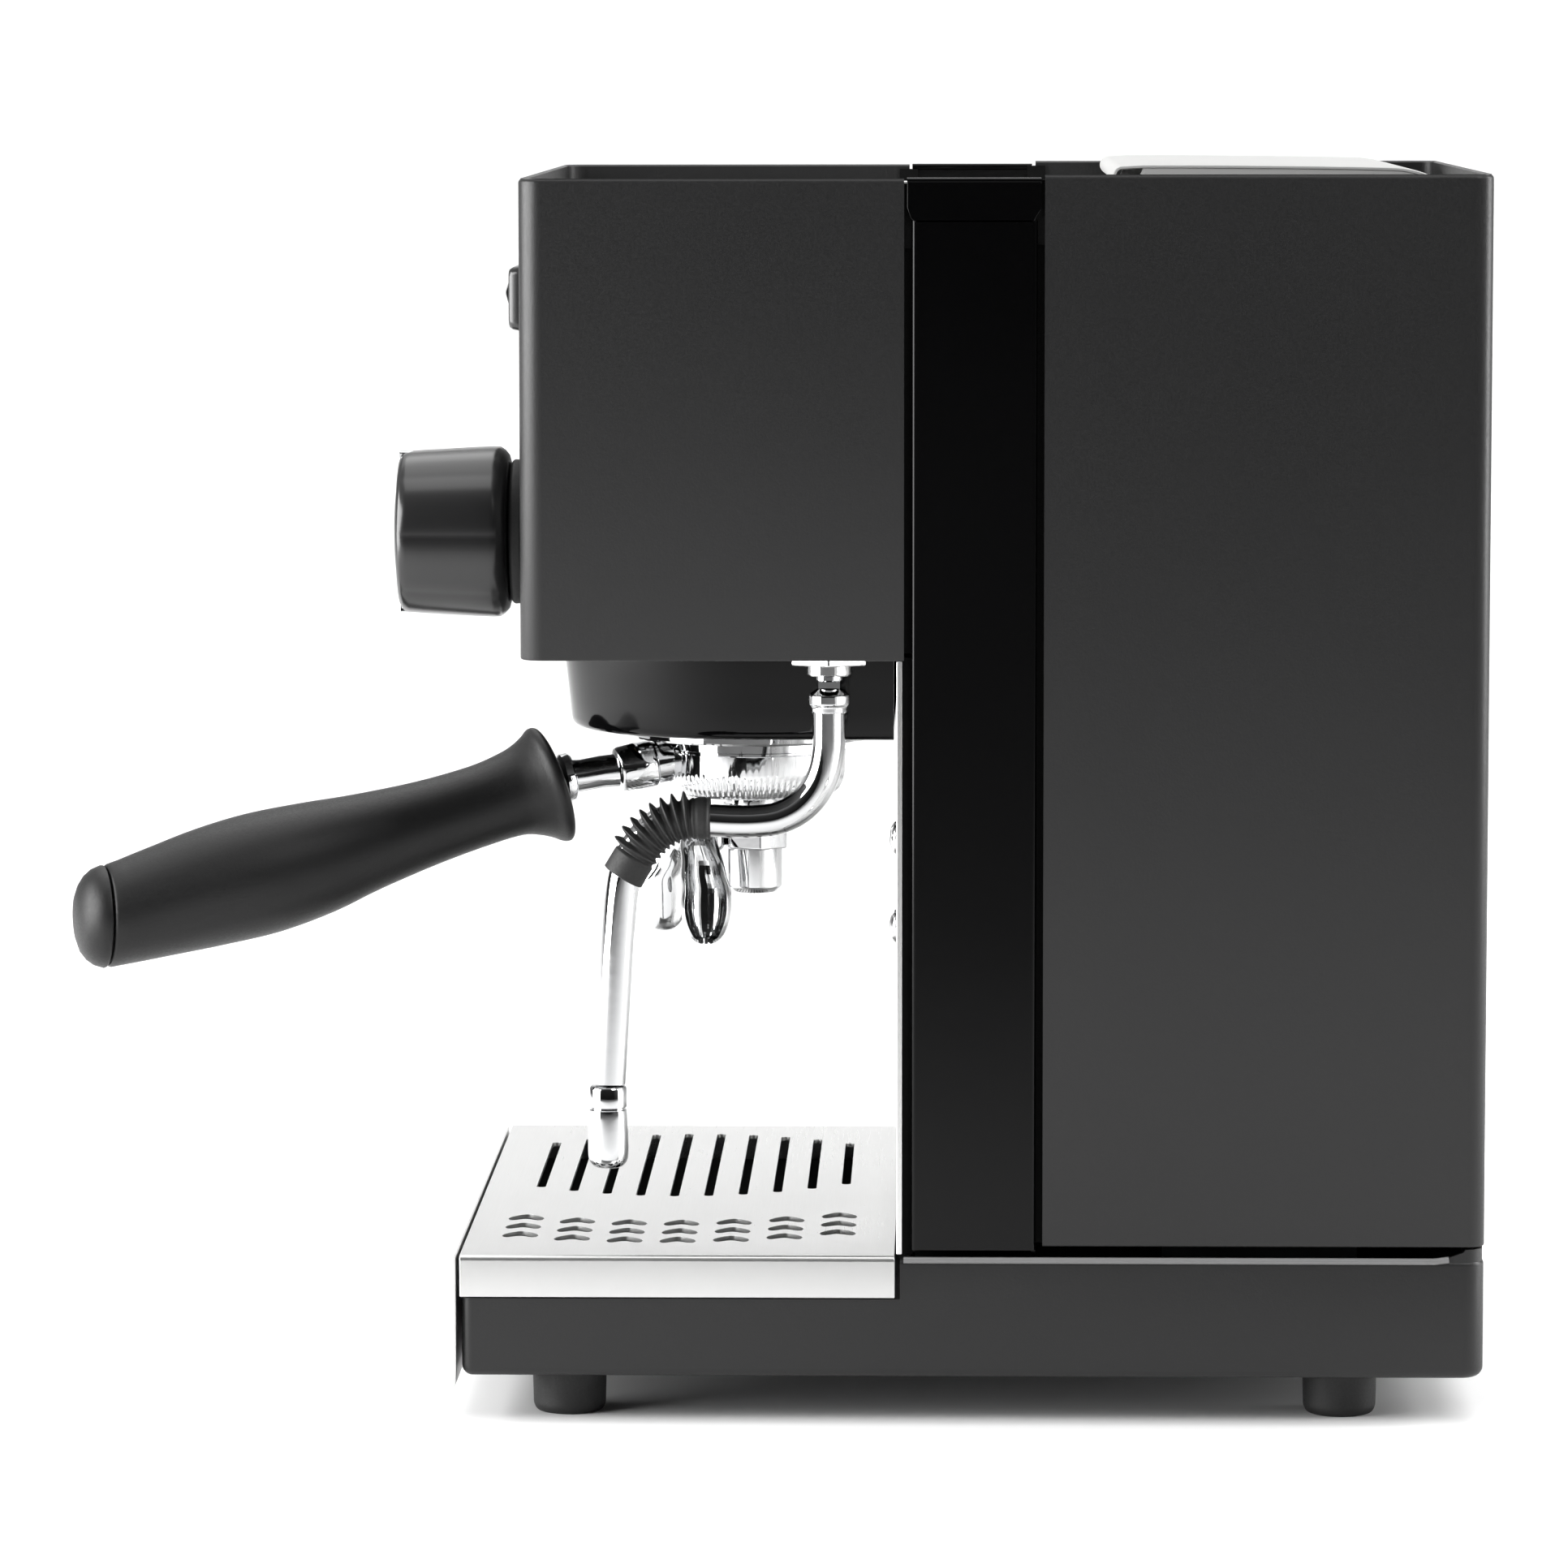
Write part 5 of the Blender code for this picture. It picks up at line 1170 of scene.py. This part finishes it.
def make_nut():
    """The hexagon under the head with a short round nose round the ball's stem."""
    x0, x1, _, _, z0, z1 = edges_of("wand_nut")
    x, y, _ = middle_of("wand_nut")
    r = (x1 - x0) / 2
    hexagon = [(x + r * math.cos(math.radians(60 * k)), y + r * math.sin(math.radians(60 * k)))
               for k in range(6)]
    nut = piece("wand_hexagon", upright(hexagon, z0 + 3.2, z1), "steel_polished", "chassis",
                ["wand_nut"], sharp=30, bevel=0.5, bevel_steps=3)
    settle(nut)
    nose = [(0, z0), (5.8, z0), (6.3, z0 + 0.5), (6.3, z0 + 4.0), (0, z0 + 4.0)]
    cut_by(nut, turned(nose, (x, y, 0), steps=48), "UNION")
    cut_by(nut, plug((x, y, 0), 4.9, z0 - 4, z1 + 4, steps=48))


# ---------------------------------------------------------------- drip tray and grate

def make_tray():
    _, _, y0, _, z0, z1 = edges_of("drip_tray")
    wall = 1.5
    profile = [(2.5, z0, 1.5), (0.8, z0 + 0.7, 3.0), (0.0, z0 + 2.4, 3.6), (0.0, z1 - 0.6, 3.8),
               (0.5, z1, 3.4), (wall - 0.3, z1, 2.8), (wall, z1 - 0.6, 2.6),
               (wall, z0 + 3.5, 2.4), (wall + 0.8, z0 + 2.0, 2.0), (wall + 3.0, z0 + 1.5, 1.5)]
    piece("drip_tray_shell", loft(tub("drip_tray", profile)), "soft_plastic", "tray",
          ["drip_tray"], sharp=50)
    fx0, fx1, fy0, fy1, fz0, top = edges_of("tray_front")
    front = fy0 + 0.5
    sheet = 0.9
    section = [(front + 0.15, top - 0.1), (front, top - 0.5), (front, 15.4), (front - 0.1, 13.4),
               (fy0 + 0.1, 11.6), (fy0, 10.7), (fy0 + 0.3, fz0), (fy0 + 0.9, fz0 + 0.1),
               (fy0 + 1.2, 11.6), (front + sheet - 0.1, 13.4), (front + sheet, 15.4),
               (front + sheet, top - 0.5), (front + sheet - 0.15, top - 0.1),
               (front + 0.5 * sheet, top)]
    middle_y = front + sheet / 2
    rows = []
    for x, thin in ((fx0, 0.5), (fx0 + 0.25, 0.12), (fx0 + 0.7, 0.0), (fx1 - 0.7, 0.0),
                    (fx1 - 0.25, 0.12), (fx1, 0.5)):
        rows.append([Vector((x, y + (min(middle_y, y + 0.45) - y) * thin if y < middle_y
                             else y - (y - middle_y) * thin, z)) for y, z in section])
    piece("tray_front_sheet", loft(rows), "stainless", "tray", ["tray_front"],
          sharp=38)
    link = bmesh.new()
    box(link, (-60, fy1 - 0.6, 20.0), (60, y0 + 0.3, 30.0))
    piece("tray_front_link", link, "soft_plastic", "tray", sharp=30, bevel=0.3)


def grate_slot_rows(front):
    rows = []
    for i in range(10):
        y = front + 15.8 + 9.92 * i
        rows.append((y, 17.3 - 0.0095 * (y + 28.0) ** 2, 0.0088 * (y + 24.0) ** 2 - 100.2))
    return rows


def make_grate():
    """Folded stainless top with long slots and three rows of small wavy slits."""
    x0, x1, y0, y1, z0, z1 = edges_of("drip_grate")
    sheet = 1.2
    bend = 1.6
    right = corner_arc(x1 - bend, z1 - bend, bend, 0, 90, 8)
    left = [(-x, z) for x, z in reversed(right)]
    outside = [(x1, z0)] + right + left + [(x0, z0)]
    right_in = corner_arc(x1 - bend, z1 - bend, bend - sheet, 90, 0, 6)
    left_in = [(-x, z) for x, z in reversed(right_in)]
    inside = [(x0 + sheet, z0)] + left_in + right_in + [(x1 - sheet, z0)]
    section = outside + inside
    grate = piece("drip_grate_sheet",
                  prism([(x, y0, z) for x, z in section], (0, y1 - y0, 0)),
                  "stainless", "grate", ["drip_grate"], sharp=30, bevel=0.28)
    settle(grate)
    slots = bmesh.new()
    for y, near, far in grate_slot_rows(y0):
        outline = corner_arc(near - 1.35, y, 1.35, -90, 90, 10)
        outline += corner_arc(far + 1.35, y, 1.35, 90, 270, 10)
        prism([(x, b, z1 - 6) for x, b in outline], (0, 0, 12), slots)
    cut_by(grate, slots)
    slits = bmesh.new()
    for column in range(7):
        middle = y0 + 14.9 + 14.86 * column
        first = 64.0 - 0.0055 * (middle + 30.0) ** 2
        for row in range(3):
            x = first + 14.3 * row
            upper = []
            lower = []
            for k in range(25):
                t = -1 + 2 * k / 24
                arch = 1.6 - 1.7 * (1 + math.cos(math.pi * t))
                thick = 3.9 * max(0.0, 1 - t ** 4) ** 0.5 + 0.03
                upper.append((x + arch + thick, middle + 5.1 * t))
                lower.append((x + arch - thick, middle + 5.1 * t))
            prism([(a, b, z1 - 6) for a, b in upper + lower[::-1]], (0, 0, 12), slits)
    cut_by(grate, slits)


# ---------------------------------------------------------------- inside and back

def make_inlet():
    x0, x1, y0, y1, z0, z1 = edges_of("power_inlet")
    profile = [(1.6, y0 + 0.4), (1.2, y0), (0.6, y0 + 0.2), (0.5, y1 - 2.6), (0.0, y1 - 1.1),
               (0.0, y1 - 0.6), (0.5, y1), (2.2, y1), (3.0, y1 - 0.5), (3.0, y1 - 14.9)]
    rings = [[Vector((x, depth, z)) for x, z in rounded_outline(
        x0 + i, x1 - i, z0 + i, z1 - i, 2.2, 2.2, 8)] for i, depth in profile]
    piece("power_inlet_shell", loft(rings), "soft_plastic", "chassis", ["power_inlet"],
          sharp=40)
    pins = bmesh.new()
    middle = (x0 + x1) / 2
    for offset, drop in ((-6.0, -1.6), (0.0, 2.2), (6.0, -1.6)):
        x = middle + offset
        z = (z0 + z1) / 2 + drop
        box(pins, (x - 1.0, y1 - 15.2, z - 2.0), (x + 1.0, y1 - 4.0, z + 2.0))
    piece("power_inlet_pins", pins, "steel_polished", "chassis", sharp=30,
          bevel=0.3)


def make_inside():
    for node, look in (("group_gasket", "rubber"), ("boiler_shell", "brass"),
                       ("boiler_cover", "brass"), ("heating_element", "copper"),
                       ("brew_thermostat", "zinc"), ("steam_valve", "brass"),
                       ("steam_pipe", "copper"), ("solenoid_valve", "soft_plastic"),
                       ("boiler_feed_pipe", "copper"), ("pump_bracket", "zinc"),
                       ("vibration_pump", "soft_plastic"), ("tank_shelf", "zinc"),
                       ("tank_seat", "rubber"), ("suction_hose", "rubber")):
        finish_node(node, look)


# ---------------------------------------------------------------- studio

def soft_light(name, place, aim, size_x, size_y, power):
    lamp = bpy.data.lights.new(name, "AREA")
    lamp.shape = "RECTANGLE"
    lamp.size = size_x
    lamp.size_y = size_y
    lamp.energy = power
    thing = linked(name, lamp)
    thing.location = place
    way = Vector(aim) - Vector(place)
    thing.rotation_euler = way.to_track_quat("-Z", "Y").to_euler()


def ranged(tree, source, start, end, low, high):
    """A value from low to high, as the source goes from start to end."""
    node = tree.nodes.new("ShaderNodeMapRange")
    for name, value in (("From Min", start), ("From Max", end), ("To Min", low), ("To Max", high)):
        node.inputs[name].default_value = value
    tree.links.new(source, node.inputs["Value"])
    return node.outputs["Result"]


def make_studio():
    bm = bmesh.new()
    line = [(6.0, 0.0), (-4.2, 0.0)]
    for a in range(9, 91, 9):
        turn = math.radians(a)
        line.append((-4.2 - 0.8 * math.sin(turn), 0.8 - 0.8 * math.cos(turn)))
    line.append((-5.0, 3.2))
    near, far = ([bm.verts.new((x, side, z)) for x, z in line] for side in (-6.0, 6.0))
    for k in range(len(line) - 1):
        bm.faces.new((near[k], near[k + 1], far[k + 1], far[k]))
    bmesh.ops.recalc_face_normals(bm, faces=bm.faces)
    mesh = bpy.data.meshes.new("studio_floor")
    bm.to_mesh(mesh)
    bm.free()
    paint = Nodes("studio_paper")
    # Painted shade: the paper turns from pale to dark grey between 0.34 m and 1.2 m towards +X, a painted
    # light falloff that also darkens what the gloss and chrome parts reflect.
    axes = paint.add("ShaderNodeSeparateXYZ")
    paint.join(paint.coords, axes.inputs[0])
    shade = paint.ramp(axes.outputs["X"], 0.0, 1.0, 0.34, 1.2)
    pale = paint.tint(paint.noise(0.9), (0.84, 0.84, 0.84), (0.86, 0.86, 0.86))
    painted_falloff = paint.add("ShaderNodeMix", data_type="RGBA")
    painted_falloff.inputs[7].default_value = (0.3, 0.3, 0.3, 1)
    paint.join(shade, painted_falloff.inputs[0])
    paint.join(pale, painted_falloff.inputs[6])
    paint.wire(Base_Color=painted_falloff.outputs[2])
    paint.wire(Roughness=paint.ramp(paint.noise(3.0), 0.85, 0.95))
    paint.shader.inputs["Specular IOR Level"].default_value = 0.1
    mesh.materials.append(paint.material)
    mesh.shade_smooth()
    linked("studio_floor", mesh)
    world = bpy.data.worlds.new("studio")
    world.use_nodes = True
    tree = world.node_tree
    place = tree.nodes.new("ShaderNodeTexCoord")
    parts = tree.nodes.new("ShaderNodeSeparateXYZ")
    both = tree.nodes.new("ShaderNodeMath")
    both.operation = "MULTIPLY"
    tree.links.new(place.outputs["Generated"], parts.inputs[0])
    rise = ranged(tree, parts.outputs["Z"], 0.05, 0.9, 0.16, 0.75)
    turn = ranged(tree, parts.outputs["X"], 0.1, 0.8, 1.0, 0.08)
    tree.links.new(rise, both.inputs[0])
    tree.links.new(turn, both.inputs[1])
    tree.links.new(both.outputs["Value"], tree.nodes["Background"].inputs["Strength"])
    tree.nodes["Background"].inputs["Color"].default_value = (1, 1, 1, 1)
    bpy.context.scene.world = world
    soft_light("top_light", (-0.35, 0.0, 1.9), (-0.1, 0, 0), 1.6, 2.2, 24.0)
    soft_light("front_light", (0.4, -1.25, 0.45), (0, 0, 0.2), 1.3, 1.0, 52.0)
    soft_light("rear_light", (-0.1, 1.4, 0.5), (0, 0, 0.2), 0.5, 1.2, 22.0)
    soft_light("key_light", (1.2, 1.0, 1.5), (0.1, 0.1, 0.2), 0.8, 0.8, 15.0)
    soft_light("paper_light", (-2.3, 0.0, 2.5), (-2.6, 0, 0), 3.6, 3.0, 32.0)
    soft_light("backdrop_light", (-2.9, 0.0, 2.2), (-4.6, 0, 0.2), 4.6, 1.0, 64.0)
    view = bpy.context.scene.view_settings
    view.view_transform = "Standard"
    view.look = "None"
    view.exposure = 0.0
    view.gamma = 1.0


make_panels()
make_base()
make_feet()
make_columns()
make_bulkheads()
make_seams()
make_head_floor()
make_splash()
make_top()
make_tank()
make_lid()
make_switches()
make_knob()
make_group()
make_portafilter()
make_spouts()
make_wand()
make_nut()
make_tray()
make_grate()
make_inlet()
make_inside()
make_studio()
